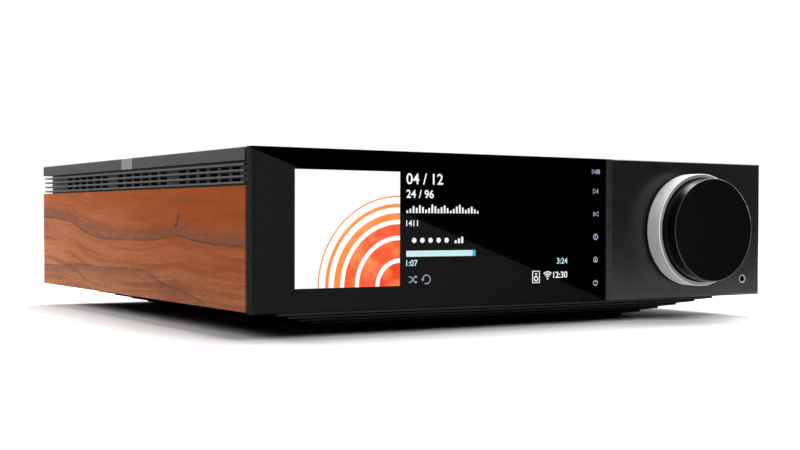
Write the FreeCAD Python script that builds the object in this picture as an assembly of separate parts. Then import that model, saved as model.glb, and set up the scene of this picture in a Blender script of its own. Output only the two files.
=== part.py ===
import FreeCAD, Part
import math
import os

from FreeCAD import Vector

# Streaming amplifier, in millimetres. +X is to the right of someone facing the front, +Y runs to
# the rear and +Z is up. The origin is on the floor, under the middle of the whole object.

# Overall size
body_width = 317.0
body_height = 89.0
body_depth = 332.5
knob_reach = 22.0

# Front panel stack, from the glass rearwards
glass_thickness = 1.2
frame_thickness = 4.0
carrier_thickness = 2.0
carrier_flange = 8.0
carrier_flange_thickness = 1.0
edge_break = 0.4
panel_bottom_gap = 0.55
panel_bottom_bevel = 1.0

# Display
display_left = 19.5
display_right = 19.5
display_edge = 6.25
display_gap = 0.3
bond_gap = 0.2
display_slot_width = 40.0
display_slot_height = 8.0

# Control panel and the column of keys beside it
control_width = 110.7
key_count = 6
power_key_extra = 4.0
key_gap = 0.3
key_width = 3.0
key_depth = 3.0
key_round = 1.0
key_travel = 0.6
key_stop_gap = 0.4
key_wall_gap = 0.4
glass_key_gap = 1.0
stem_width = 2.0
stem_height = 3.0
stem_gap = 0.3
stem_flange_rim = 1.0
stem_flange_thickness = 0.8
stem_flange_gap = 0.1
switch_gap = 0.8
switch_width = 6.0
switch_height = 5.0
switch_top_gap = 0.55
switch_entry = 1.2
switch_end_gap = 0.3

# Source ring and volume knob, on one axis
knob_from_side = 55.9
ring_radius = 31.2
ring_stand_off = 1.5
ring_length = 10.4
ring_web = 2.0
ring_chamfer = 0.5
knob_radius = 28.35
knob_gap = 0.4
knob_web_gap = 0.5
knob_wall = 3.0
knob_face_thickness = 4.0
knob_chamfer = 0.35
knob_boss_wall = 4.0
shaft_radius = 3.0
shaft_gap = 0.3
running_gap = 0.05
hub_wall = 2.7
hub_end_gap = 1.0
bush_wall = 2.0
bush_gap = 0.3
nut_wall = 3.0
nut_thickness = 1.1
source_encoder_size = 24.0
source_encoder_depth = 5.8
volume_encoder_size = 14.0
volume_encoder_depth = 8.0
shaft_entry = 6.0

# Headphone socket
jack_from_side = 13.4
jack_above_panel_bottom = 9.4
jack_bore_radius = 1.8
jack_ring_wall = 0.8
jack_ring_proud = 0.2
jack_depth = 14.6
jack_body_size = 9.0
jack_end_wall = 1.0

# Control board behind the front carrier
board_thickness = 1.6
control_board_left = 7.0
control_board_edge = 6.0

# Case
wood_thickness = 3.6
wood_front_gap = 1.3
wood_edge_round = 0.5
wood_wall_gap = 1.0
tray_thickness = 1.5
tray_rear_gap = 3.8
wall_below_wood_top = 1.4
cover_drop = 0.1
cover_thickness = 6.0
cover_plate = 2.0
cover_side_lip = 6.6
cover_end_lip = 5.0
cover_front_gap = 2.2
cover_edge_break = 0.5
seat_gap = 0.1
inlay_length = 17.5
inlay_from_front = 160.4
inlay_thickness = 1.0
inlay_leg = 10.0
inlay_gap = 0.05
lug_width = 12.0
lug_depth = 8.0
lug_height = 10.0
lug_inset = 41.0

# Side vent grilles
vent_height = 11.5
fin_count = 4
fin_thickness = 0.9
fin_pitch = 2.75
fin_top_gap = 1.4
grille_wall = 1.5
grille_lap = 12.0
vent_slot_length = 9.5
vent_slot_height = 1.6
vent_slot_pitch = 13.8
vent_slots_per_group = 6
vent_group_count = 3
vent_front_margin = 23.0
vent_rear_margin = 38.0
grille_front_gap = 1.0

# Panel magnets
magnet_radius = 6.0
magnet_depth = 2.0
magnet_gap = 0.05
magnet_end_inset = 40.0
magnet_edge_inset = 14.0

# Stepped base and feet
floor_gap = 0.31
step_count = 7
step_pitch = 2.04
step_riser = 1.0
base_side_inset = 10.0
base_front_inset = 10.8
base_rear_inset = 10.8
step_in_side = 8.45
step_in_end = 6.5
base_corner = 4.0
base_wall = 2.5
foot_radius = 9.0
foot_recess = 1.0
foot_gap = 0.1
foot_inset = 16.0
base_boss_radius = 5.0
base_screw_inset = 34.0

# Screws
screw_radius = 1.5
screw_head_radius = 2.8
screw_head_height = 0.9
screw_bite = 3.0
screw_gap = 0.05
screw_head_gap = 0.3
side_screw_count = 4
side_screw_drop = 6.0
front_screw_inset_left = 6.0
front_screw_inset_right = 15.4
front_screw_inset_z = 8.0

# Rear panel and its bay
rear_bay_depth = 16.0
rear_panel_thickness = 1.5
panel_side_gap = 0.1
shell_gap = 0.15

# Speaker terminals
terminal_from_inlet = 49.0
terminal_pitch = 19.05
terminal_pair_gap = 24.95
terminal_rise = 30.0
terminal_collar_radius = 8.4
terminal_collar_length = 2.5
terminal_stud_radius = 3.5
terminal_stud_length = 10.5
terminal_inner_length = 6.0
terminal_nut_radius = 6.0
terminal_nut_thickness = 2.0
plug_bore_radius = 2.05
plug_bore_depth = 12.0
washer_radius = 6.8
washer_thickness = 1.5
washer_gap = 0.3
stud_gap = 0.3
cap_radius = 7.6
cap_length = 9.5
cap_end_wall = 3.0
cap_mouth_gap = 0.5
cap_chamfer = 0.5

# Line sockets
line_column_count = 3
line_column_pitch = 16.0
line_from_hdmi = 20.0
line_block_width = 13.0
line_block_depth = 14.0
line_row_pitch = 15.0
line_first_row = 8.5
line_rows = 2
line_barrel_radius = 4.15
line_barrel_wall = 0.7
line_barrel_length = 9.0
line_insert_gap = 0.05
line_bore_radius = 1.65
line_bore_depth = 8.0

# Digital sockets, each on the main board
hdmi_from_usb = 18.5
hdmi_width = 15.0
hdmi_height = 5.8
hdmi_tongue_width = 10.5
hdmi_tongue_height = 1.0
usb_from_network = 21.5
usb_width = 13.4
usb_height = 6.2
usb_tongue_width = 11.0
usb_tongue_height = 1.8
network_from_side = 21.0
network_width = 16.0
network_height = 13.5
network_wall = 2.1
shell_wall = 0.5
shell_length = 14.0
network_length = 21.0
shell_proud = 1.0
shell_cavity_depth = 9.0
network_cavity_depth = 12.0
tongue_length = 7.0

# Antenna sockets
antenna_from_side = 10.0
antenna_drop = 14.7
antenna_radius = 3.15
antenna_flange_radius = 4.6
antenna_flange_thickness = 1.5
antenna_length = 9.0
antenna_bore_radius = 0.65
antenna_inner_length = 3.0

# Mains inlet and power switch
mains_from_side = 26.0
inlet_rise = 21.0
inlet_width = 27.2
inlet_height = 19.8
inlet_flange_rim = 1.8
inlet_flange_thickness = 2.5
inlet_wall = 1.4
inlet_depth = 16.0
inlet_back = 2.0
blade_width = 2.0
blade_height = 4.0
blade_length = 14.0
blade_tail = 4.0
blade_spread = 7.0
switch_above_inlet = 4.0
switch_body_width = 15.6
switch_body_height = 21.5
switch_flange_rim = 1.5
switch_flange_thickness = 2.0
switch_body_depth = 14.0
rocker_radius = 8.6
rocker_gap = 0.3
rocker_width = 12.0
rocker_side_gap = 0.3
rocker_pivot_depth = 2.5
rocker_hollow = 5.2
rocker_slope_deg = 10.0
rocker_throw_deg = 20.0
rocker_pin_radius = 1.2
rocker_pin_reach = 1.0

# Circuit boards and what stands on them
standoff_height = 6.0
standoff_radius = 3.0
standoff_inset = 6.0
board_side_gap = 5.0
board_rear_gap = 0.5
board_split_x = 8.0
board_split_gap = 8.0
main_board_depth = 125.0
amplifier_board_gap = 11.6
amplifier_board_depth = 115.0
power_board_width = 106.0
power_board_front_inset = 18.0
power_board_rear_gap = 32.0
heat_sink_length = 50.0
heat_sink_side_inset = 9.0
heat_sink_base = 4.0
heat_sink_height = 38.0
heat_sink_fins = 12
heat_sink_fin_thickness = 1.6
heat_sink_front = 10.0
inductor_radius = 8.0
inductor_height = 12.0
inductor_row = 92.0
inductor_pitch = 21.0
inductor_count = 4
capacitor_radius = 11.0
capacitor_height = 32.0
capacitor_pitch = 25.0
capacitor_count = 4
capacitor_rear_inset = 22.0
transformer_width = 44.0
transformer_depth = 40.0
transformer_height = 34.0
transformer_front = 24.0
module_width = 56.0
module_depth = 42.0
module_height = 7.0
module_front = 30.0
header_width = 22.0
header_depth = 4.0
header_height = 5.0
ribbon_width = 18.0
ribbon_thickness = 0.4
ribbon_sag = 4.0
ribbon_x = 78.0

# Places that follow from the sizes above
half_width = body_width / 2
front_y = -(body_depth + knob_reach) / 2 + knob_reach
rear_y = front_y + body_depth
glass_back_y = front_y + glass_thickness
frame_back_y = glass_back_y + frame_thickness
carrier_back_y = frame_back_y + carrier_thickness
base_top_z = floor_gap + step_riser + (step_count - 1) * step_pitch
panel_bottom_z = base_top_z - panel_bottom_gap
panel_mid_z = (panel_bottom_z + body_height) / 2
tray_floor_z = base_top_z + tray_thickness
wood_front_y = frame_back_y + wood_front_gap
wood_inner_x = half_width - wood_thickness
wall_outer_x = wood_inner_x - wood_wall_gap
wall_inner_x = wall_outer_x - tray_thickness
cover_top_z = body_height - cover_drop
cover_bottom_z = cover_top_z - cover_thickness
cover_inner_z = cover_top_z - cover_plate
wood_top_z = cover_bottom_z - vent_height
wall_top_z = wood_top_z - wall_below_wood_top
cover_front_y = frame_back_y + cover_front_gap
case_rear_y = rear_y - tray_rear_gap
rear_panel_y = rear_y - rear_bay_depth
rear_inner_y = rear_panel_y - rear_panel_thickness

control_left_x = half_width - control_width
key_right_x = control_left_x - key_gap
key_left_x = key_right_x - key_width
key_pitch = (body_height - panel_bottom_z - power_key_extra) / key_count
key_mid_x = (key_left_x + key_right_x) / 2
glass_right_x = key_left_x - glass_key_gap
key_back_y = front_y + key_depth
channel_floor_y = key_back_y + key_travel + key_stop_gap
knob_x = half_width - knob_from_side
knob_z = panel_mid_z
ring_back_y = front_y - ring_stand_off
ring_front_y = ring_back_y - ring_length
knob_front_y = front_y - knob_reach
knob_back_y = ring_back_y - ring_web - knob_web_gap
hub_bore_radius = shaft_radius + shaft_gap
hub_radius = hub_bore_radius + hub_wall
bush_bore_radius = hub_radius + running_gap
bush_radius = bush_bore_radius + bush_wall
control_board_y = carrier_back_y + source_encoder_depth
control_board_back_y = control_board_y + board_thickness
hub_end_y = control_board_y - hub_end_gap
flange_front_y = carrier_back_y + stem_flange_gap
flange_back_y = flange_front_y + stem_flange_thickness
switch_front_y = flange_back_y + key_travel + switch_gap
stem_tip_y = switch_front_y + switch_entry
top_switch_z = cover_bottom_z - seat_gap - carrier_flange_thickness - switch_top_gap - switch_height / 2
jack_x = half_width - jack_from_side
jack_z = panel_bottom_z + jack_above_panel_bottom
jack_front_y = front_y - jack_ring_proud
jack_ring_radius = jack_bore_radius + jack_ring_wall
display_x0 = -half_width + display_left
display_x1 = glass_right_x - display_right
vent_group_length = (vent_slots_per_group - 1) * vent_slot_pitch + vent_slot_length
vent_group_span = body_depth - vent_front_margin - vent_rear_margin - vent_group_length
vent_group_pitch = vent_group_span / (vent_group_count - 1)
board_bottom_z = tray_floor_z + standoff_height
board_top_z = board_bottom_z + board_thickness
mains_x = mains_from_side - wall_inner_x
inlet_z = tray_floor_z + inlet_rise
inlet_top_z = inlet_z + inlet_height / 2 + inlet_flange_rim
switch_z = inlet_top_z + switch_above_inlet + switch_flange_rim + switch_body_height / 2
terminal_z = tray_floor_z + terminal_rise
network_x = wall_inner_x - network_from_side
usb_x = network_x - usb_from_network
hdmi_x = usb_x - hdmi_from_usb
antenna_x = wall_inner_x - antenna_from_side
antenna_z = cover_inner_z - antenna_drop
terminal_face_y = rear_panel_y + terminal_collar_length
washer_back_y = terminal_face_y + washer_gap
cap_back_y = washer_back_y + washer_thickness + washer_gap
cap_front_y = cap_back_y + cap_length
stud_tip_y = rear_panel_y + terminal_stud_length
rocker_y = rear_panel_y - rocker_pivot_depth
lug_z = cover_inner_z - lug_height / 2


def box(x0, x1, y0, y1, z0, z1):
    return Part.makeBox(x1 - x0, y1 - y0, z1 - z0, Vector(x0, y0, z0))


def rod_x(x0, x1, y, z, radius):
    return Part.makeCylinder(radius, x1 - x0, Vector(x0, y, z), Vector(1, 0, 0))


def rod_y(x, z, y0, y1, radius):
    return Part.makeCylinder(radius, y1 - y0, Vector(x, y0, z), Vector(0, 1, 0))


def rod_z(x, y, z0, z1, radius):
    return Part.makeCylinder(radius, z1 - z0, Vector(x, y, z0), Vector(0, 0, 1))


def join(shapes):
    return shapes[0].multiFuse(shapes[1:]).removeSplitter() if len(shapes) > 1 else shapes[0]


def without(shape, tools):
    return shape.cut(tools) if tools else shape


def along(first, last, count):
    step = (last - first) / (count - 1)
    return [first + step * index for index in range(count)]


def chosen_edges(shape, test):
    return [edge for edge in shape.Edges if test(edge.BoundBox)]


def rounded_outline(half_x, y0, y1, z, radius):
    shape = box(-half_x, half_x, y0, y1, z, z + radius)
    upright = chosen_edges(shape, lambda b: b.ZLength > radius / 2)
    rounded = shape.makeFillet(radius, upright)
    bottom = min(rounded.Faces, key=lambda face: face.CenterOfMass.z)
    return bottom.OuterWire


# Screw positions, shared by each screw and the holes it goes through
def side_screw_places():
    z = wall_top_z - side_screw_drop
    ys = along(wood_front_y + magnet_end_inset / 2, case_rear_y - magnet_end_inset / 2, side_screw_count)
    return [(side, y, z) for side in (-1, 1) for y in ys]


def front_screw_places():
    left = front_screw_inset_left - wall_inner_x
    right = wall_inner_x - front_screw_inset_right
    top = cover_bottom_z - front_screw_inset_z
    bottom = tray_floor_z + front_screw_inset_z
    return [(x, z) for x in (left, right) for z in (bottom, top)]


def lug_places():
    outer = wall_inner_x - lug_inset
    return [-outer, 0, outer]


def base_half(step):
    return half_width - base_side_inset - step_in_side * step


def base_front(step):
    return front_y + base_front_inset + step_in_end * step


def base_rear(step):
    return rear_y - base_rear_inset - step_in_end * step


def base_outline(step, inset, z):
    y0 = base_front(step) + inset
    y1 = base_rear(step) - inset
    return rounded_outline(base_half(step) - inset, y0, y1, z, base_corner)


def base_corner_places(inset):
    last = step_count - 1
    x = base_half(last) - inset
    return [(side * x, y) for side in (-1, 1) for y in (base_front(last) + inset, base_rear(last) - inset)]


def magnet_places():
    ys = (wood_front_y + magnet_end_inset, rear_y - magnet_end_inset)
    zs = (base_top_z + magnet_edge_inset, wood_top_z - magnet_edge_inset - side_screw_drop)
    return [(y, z) for y in ys for z in zs]


# Front panel
def front_glass():
    shape = box(-half_width, glass_right_x, front_y, glass_back_y, panel_bottom_z, body_height)
    return shape.makeChamfer(edge_break / 2, chosen_edges(shape, lambda b: b.YMax < front_y + edge_break))


def display_box(grow, y0, y1):
    z0 = panel_bottom_z + display_edge - grow
    z1 = body_height - display_edge + grow
    return box(display_x0 - grow, display_x1 + grow, y0, y1, z0, z1)


def front_frame():
    shape = box(-half_width, control_left_x, glass_back_y, frame_back_y, panel_bottom_z, body_height)
    channel_left = key_left_x - key_wall_gap
    channel = box(channel_left, control_left_x, front_y, channel_floor_y, panel_bottom_z, body_height)
    holes = [display_box(display_gap, glass_back_y, frame_back_y)]
    holes += [key_stem(index, stem_gap, channel_floor_y, frame_back_y) for index in range(key_count)]
    holes += front_screw_holes(screw_gap)
    return without(shape, [channel] + holes)


def front_screw_holes(gap):
    depth = frame_back_y - screw_bite
    return [rod_y(x, z, depth, carrier_back_y, screw_radius + gap) for x, z in front_screw_places()]


def knob_hole(radius, y0, y1):
    return rod_y(knob_x, knob_z, y0, y1, radius)


def control_panel():
    shape = box(control_left_x, half_width, front_y, frame_back_y, panel_bottom_z, body_height)
    bottom = chosen_edges(shape, lambda b: b.YMax < front_y + edge_break and b.ZMax < panel_mid_z)
    shape = shape.makeChamfer(panel_bottom_bevel, bottom)
    others = chosen_edges(shape, lambda b: b.YMax < front_y + edge_break and b.ZMax > panel_mid_z)
    shape = shape.makeChamfer(edge_break, others)
    holes = [
        knob_hole(bush_radius + bush_gap, front_y, frame_back_y),
        rod_y(jack_x, jack_z, front_y, frame_back_y, jack_ring_radius + screw_gap),
    ]
    return without(shape, holes + front_screw_holes(screw_gap))


def front_carrier():
    half = wall_inner_x - panel_side_gap
    top = cover_bottom_z - seat_gap
    plate = box(-half, half, frame_back_y, carrier_back_y, tray_floor_z, top)
    flange_y = carrier_back_y + carrier_flange
    flange = box(-half, half, carrier_back_y, flange_y, top - carrier_flange_thickness, top)
    display_x = (display_x0 + display_x1) / 2
    slot = box(
        display_x - display_slot_width / 2,
        display_x + display_slot_width / 2,
        frame_back_y,
        carrier_back_y,
        panel_mid_z - display_slot_height / 2,
        panel_mid_z + display_slot_height / 2,
    )
    holes = [
        slot,
        knob_hole(bush_radius + bush_gap, frame_back_y, carrier_back_y),
        rod_y(jack_x, jack_z, frame_back_y, carrier_back_y, jack_ring_radius + screw_gap),
    ]
    holes += [key_stem(index, stem_gap, frame_back_y, carrier_back_y) for index in range(key_count)]
    return without(join([plate, flange]), holes + front_screw_holes(screw_gap))


def lcd_module():
    return display_box(0, glass_back_y + bond_gap, frame_back_y)


# Keys and their switches
def key_z(index):
    top = body_height - index * key_pitch
    low = top - key_pitch + key_gap
    return (panel_bottom_z if index == key_count - 1 else low), top


def stem_z(index):
    return top_switch_z - index * key_pitch


def key_stem(index, grow, y0, y1):
    mid = stem_z(index)
    half_x = stem_width / 2 + grow
    half_z = stem_height / 2 + grow
    return box(key_mid_x - half_x, key_mid_x + half_x, y0, y1, mid - half_z, mid + half_z)


def key(index):
    low, high = key_z(index)
    bar = box(key_left_x, key_right_x, front_y, key_back_y, low, high)
    rounded = chosen_edges(bar, lambda b: b.XMax < key_mid_x and b.YMax < key_back_y and b.ZLength > 0)
    bar = bar.makeFillet(key_round, rounded)
    stem = key_stem(index, 0, key_back_y, stem_tip_y)
    flange = key_stem(index, stem_flange_rim, flange_front_y, flange_back_y)
    return join([bar, stem, flange])


def key_switches():
    switches = []
    for index in range(key_count):
        mid = stem_z(index)
        housing = box(
            key_mid_x - switch_width / 2,
            key_mid_x + switch_width / 2,
            switch_front_y,
            control_board_y,
            mid - switch_height / 2,
            mid + switch_height / 2,
        )
        well_end = stem_tip_y + key_travel + switch_end_gap
        switches.append(without(housing, [key_stem(index, stem_gap, switch_front_y, well_end)]))
    return Part.makeCompound(switches)


def header(x, y0, z0):
    return box(x - header_width / 2, x + header_width / 2, y0, y0 + header_depth, z0, z0 + header_height)


def jack_body(grow, y0, y1):
    half = jack_body_size / 2 + grow
    return box(jack_x - half, jack_x + half, y0, y1, jack_z - half, jack_z + half)


def control_board():
    x0 = key_mid_x - control_board_left
    x1 = wall_inner_x - panel_side_gap
    z0 = tray_floor_z
    z1 = cover_bottom_z - control_board_edge
    board = box(x0, x1, control_board_y, control_board_back_y, z0, z1)
    holes = [
        knob_hole(hub_bore_radius, control_board_y, control_board_back_y),
        jack_body(screw_gap, control_board_y, control_board_back_y),
    ]
    return join([without(board, holes), header(ribbon_x, control_board_back_y, board_top_z)])


# Knob group
def selector_ring():
    body = knob_hole(ring_radius, ring_front_y, ring_back_y)
    rims = chosen_edges(body, lambda b: b.YLength < ring_chamfer and b.XLength > ring_radius)
    body = body.makeChamfer(ring_chamfer, rims)
    hub = knob_hole(hub_radius, ring_back_y, hub_end_y)
    recess = knob_hole(knob_radius + knob_gap, ring_front_y, ring_back_y - ring_web)
    bore = knob_hole(hub_bore_radius, ring_front_y, hub_end_y)
    return without(join([body, hub]), [recess, bore])


def volume_knob():
    body = knob_hole(knob_radius, knob_front_y, knob_back_y)
    front_rim = chosen_edges(body, lambda b: b.YMax < knob_front_y + knob_chamfer and b.XLength > knob_radius)
    body = body.makeChamfer(knob_chamfer, front_rim)
    face_back = knob_front_y + knob_face_thickness
    hollow = knob_hole(knob_radius - knob_wall, face_back, knob_back_y)
    boss = knob_hole(shaft_radius + knob_boss_wall, face_back, knob_back_y)
    socket = knob_hole(shaft_radius, face_back, knob_back_y)
    return without(join([without(body, [hollow]), boss]), [socket])


def volume_shaft():
    tip = control_board_back_y + shaft_entry
    return knob_hole(shaft_radius, knob_front_y + knob_face_thickness, tip)


def selector_encoder():
    half = source_encoder_size / 2
    body = box(knob_x - half, knob_x + half, carrier_back_y, control_board_y, knob_z - half, knob_z + half)
    bush = knob_hole(bush_radius, front_y - nut_thickness, carrier_back_y)
    bore = knob_hole(bush_bore_radius, front_y - nut_thickness, control_board_y)
    nut = knob_hole(bush_radius + nut_wall, front_y - nut_thickness, front_y)
    nut_bore = knob_hole(bush_radius, front_y - nut_thickness, front_y)
    return Part.makeCompound([without(join([body, bush]), [bore]), without(nut, [nut_bore])])


def volume_encoder():
    half = volume_encoder_size / 2
    back = control_board_back_y + volume_encoder_depth
    body = box(knob_x - half, knob_x + half, control_board_back_y, back, knob_z - half, knob_z + half)
    tip = control_board_back_y + shaft_entry + hub_end_gap
    return without(body, [knob_hole(shaft_radius + running_gap, control_board_back_y, tip)])


def headphone_socket():
    end = jack_front_y + jack_depth + jack_end_wall
    ring = rod_y(jack_x, jack_z, jack_front_y, carrier_back_y, jack_ring_radius)
    body = jack_body(0, carrier_back_y, end)
    bore = rod_y(jack_x, jack_z, jack_front_y, jack_front_y + jack_depth, jack_bore_radius)
    return without(join([ring, body]), [bore])


# Case
def top_cover():
    outer = box(-half_width, half_width, cover_front_y, rear_y, cover_bottom_z, cover_top_z)
    top_edges = chosen_edges(outer, lambda b: b.ZMin > cover_bottom_z + edge_break)
    outer = outer.makeChamfer(cover_edge_break, top_edges)
    inner_x = half_width - cover_side_lip
    inner_y0 = cover_front_y + cover_end_lip
    inner_y1 = rear_y - cover_end_lip
    inner = box(-inner_x, inner_x, inner_y0, inner_y1, cover_bottom_z, cover_inner_z)
    shell = without(outer, [inner])
    lug_y = rear_inner_y - lug_depth
    lug_bottom_z = cover_inner_z - lug_height
    lugs = []
    for x in lug_places():
        half = lug_width / 2
        lug = box(x - half, x + half, lug_y, rear_inner_y, lug_bottom_z, cover_inner_z)
        lugs.append(without(lug, [rod_y(x, lug_z, rear_inner_y - screw_bite, rear_inner_y, screw_radius)]))
    return without(join([shell] + lugs), inlay_blocks(inlay_gap))


def inlay_blocks(grow):
    y0 = front_y + inlay_from_front - grow
    y1 = y0 + inlay_length + 2 * grow
    depth = inlay_thickness + grow
    blocks = []
    for side in (-1, 1):
        outer = side * half_width
        upright_inner = side * (half_width - depth)
        leg_inner = side * (half_width - inlay_leg - grow)
        upright = box(*sorted((outer, upright_inner)), y0, y1, cover_bottom_z, cover_top_z)
        leg = box(*sorted((outer, leg_inner)), y0, y1, cover_top_z - depth, cover_top_z)
        blocks.append(join([upright, leg]))
    return blocks


def cover_inlays():
    top_z = cover_top_z - edge_break / 2
    side_x = half_width - edge_break / 2
    inlays = []
    for block in inlay_blocks(0):
        top = chosen_edges(block, lambda b: b.ZMin > top_z)
        corner = [edge for edge in top if abs(edge.CenterOfMass.x) > side_x]
        inlays.append(block.makeChamfer(cover_edge_break, corner))
    return Part.makeCompound(inlays)


def fin_tops():
    top = cover_bottom_z - fin_top_gap
    return [top - index * fin_pitch for index in range(fin_count)]


def vent_grille(side):
    y0 = carrier_back_y + grille_front_gap
    wall_x = sorted((side * (wall_outer_x - grille_wall), side * wall_outer_x))
    fin_x = sorted((side * wall_outer_x, side * half_width))
    lap_x = sorted((side * (wall_inner_x - grille_wall), side * wall_inner_x))
    lap_bridge_x = sorted((side * (wall_inner_x - grille_wall), side * (wall_outer_x - grille_wall)))
    lap_y0 = y0 + carrier_flange
    lap_y1 = rear_inner_y - lug_depth
    lap_top_z = wall_top_z + grille_wall
    pieces = [
        box(*wall_x, y0, case_rear_y, wall_top_z, cover_bottom_z - seat_gap),
        box(*lap_x, lap_y0, lap_y1, wall_top_z - grille_lap, lap_top_z),
    ]
    if lap_bridge_x[1] - lap_bridge_x[0] > screw_gap:
        pieces.append(box(*lap_bridge_x, lap_y0, lap_y1, wall_top_z, lap_top_z))
    pieces += [box(*fin_x, y0, case_rear_y, top - fin_thickness, top) for top in fin_tops()]
    slots = []
    for top in fin_tops()[:-1]:
        middle = top - (fin_pitch + fin_thickness) / 2
        low = middle - vent_slot_height / 2
        for group in range(vent_group_count):
            for slot in range(vent_slots_per_group):
                y = front_y + vent_front_margin + group * vent_group_pitch + slot * vent_slot_pitch
                slots.append(box(*wall_x, y, y + vent_slot_length, low, low + vent_slot_height))
    holes = [side_screw(place, 0, screw_gap) for place in side_screw_places() if place[0] == side]
    return without(join(pieces), slots + holes)


def side_screw(place, head, gap):
    side, y, z = place
    inner = wall_inner_x - grille_wall
    shank_x = sorted((side * inner, side * wall_outer_x))
    shank = rod_x(*shank_x, y, z, screw_radius + gap)
    if not head:
        return shank
    head_x = sorted((side * wall_outer_x, side * (wall_outer_x + screw_head_height)))
    return join([shank, rod_x(*head_x, y, z, screw_head_radius)])


def side_panel(side):
    xs = sorted((side * wood_inner_x, side * half_width))
    panel = box(*xs, wood_front_y, rear_y, base_top_z, wood_top_z)
    outer = chosen_edges(panel, lambda b: b.XLength < edge_break and abs(b.XMin) > half_width - edge_break)
    panel = panel.makeFillet(wood_edge_round, outer)
    return without(panel, [magnet(side, place, magnet_gap) for place in magnet_places()])


def magnet(side, place, grow):
    y, z = place
    inner = wall_outer_x if not grow else wood_inner_x
    xs = sorted((side * inner, side * (wood_inner_x + magnet_depth + grow)))
    return rod_x(*xs, y, z, magnet_radius + grow)


def panel_magnets():
    return Part.makeCompound([magnet(side, place, 0) for side in (-1, 1) for place in magnet_places()])


def chassis_tray():
    floor = box(-wall_outer_x, wall_outer_x, frame_back_y, case_rear_y, base_top_z, tray_floor_z)
    walls = []
    for side in (-1, 1):
        xs = sorted((side * wall_inner_x, side * wall_outer_x))
        walls.append(box(*xs, frame_back_y, case_rear_y, tray_floor_z, wall_top_z))
    holes = [side_screw(place, 0, screw_gap) for place in side_screw_places()]
    holes += [rod_z(x, y, base_top_z, tray_floor_z, screw_radius + screw_gap)
              for x, y in base_corner_places(base_screw_inset)]
    return without(join([floor] + walls), holes)


# Base
def stepped_base():
    layers = []
    for step in range(step_count):
        top = base_top_z - step * step_pitch
        outline = base_outline(step, 0, top - step_riser)
        layers.append(Part.Face(outline).extrude(Vector(0, 0, step_riser)))
        if step < step_count - 1:
            lower = base_outline(step + 1, 0, top - step_pitch)
            layers.append(Part.makeLoft([lower, outline], True, True))
    body = join(layers)
    hollows = []
    for step in range(1, step_count - 1):
        bottom = base_top_z - step * step_pitch
        outline = base_outline(step, base_wall, bottom)
        hollows.append(Part.Face(outline).extrude(Vector(0, 0, base_top_z - bottom)))
    body = without(body, [join(hollows)])
    bosses = [rod_z(x, y, floor_gap, base_top_z, base_boss_radius)
              for x, y in base_corner_places(base_screw_inset)]
    cuts = [base_screw(x, y, screw_gap) for x, y in base_corner_places(base_screw_inset)]
    cuts += [rod_z(x, y, floor_gap, floor_gap + foot_recess, foot_radius + foot_gap)
             for x, y in base_corner_places(foot_inset)]
    return without(join([body] + bosses), cuts)


def base_screw(x, y, gap):
    head_bottom = floor_gap if gap else floor_gap + screw_head_gap
    head = rod_z(x, y, head_bottom, floor_gap + screw_head_gap + screw_head_height, screw_head_radius + gap)
    return join([head, rod_z(x, y, head_bottom, tray_floor_z, screw_radius + gap)])


def rubber_feet():
    return Part.makeCompound([rod_z(x, y, 0, floor_gap + foot_recess, foot_radius)
                              for x, y in base_corner_places(foot_inset)])


def case_screws():
    screws = [base_screw(x, y, 0) for x, y in base_corner_places(base_screw_inset)]
    screws += [side_screw(place, 1, 0) for place in side_screw_places()]
    for x, z in front_screw_places():
        shank = rod_y(x, z, frame_back_y - screw_bite, carrier_back_y, screw_radius)
        head = rod_y(x, z, carrier_back_y, carrier_back_y + screw_head_height, screw_head_radius)
        screws.append(join([shank, head]))
    for x in lug_places():
        shank = rod_y(x, lug_z, rear_inner_y - screw_bite, rear_panel_y, screw_radius)
        head = rod_y(x, lug_z, rear_panel_y, rear_panel_y + screw_head_height, screw_head_radius)
        screws.append(join([shank, head]))
    return Part.makeCompound(screws)


# Rear panel and its sockets
def line_z(row):
    return board_top_z + line_first_row + row * line_row_pitch


def line_columns():
    return [hdmi_x - line_from_hdmi - line_column_pitch * column for column in range(line_column_count)]


def line_places():
    return [(x, line_z(row)) for x in line_columns() for row in range(line_rows)]


def terminal_places():
    first = mains_x + terminal_from_inlet
    second = first + terminal_pitch
    third = second + terminal_pair_gap
    return [first, second, third, third + terminal_pitch]


def shell_box(x, width, height, grow, y0, y1):
    half = width / 2 + grow
    return box(x - half, x + half, y0, y1, board_top_z - grow, board_top_z + height + grow)


def mains_box(z, width, height, grow, y0, y1):
    half_x = width / 2 + grow
    half_z = height / 2 + grow
    return box(mains_x - half_x, mains_x + half_x, y0, y1, z - half_z, z + half_z)


def antenna_places():
    return [-antenna_x, antenna_x]


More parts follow.
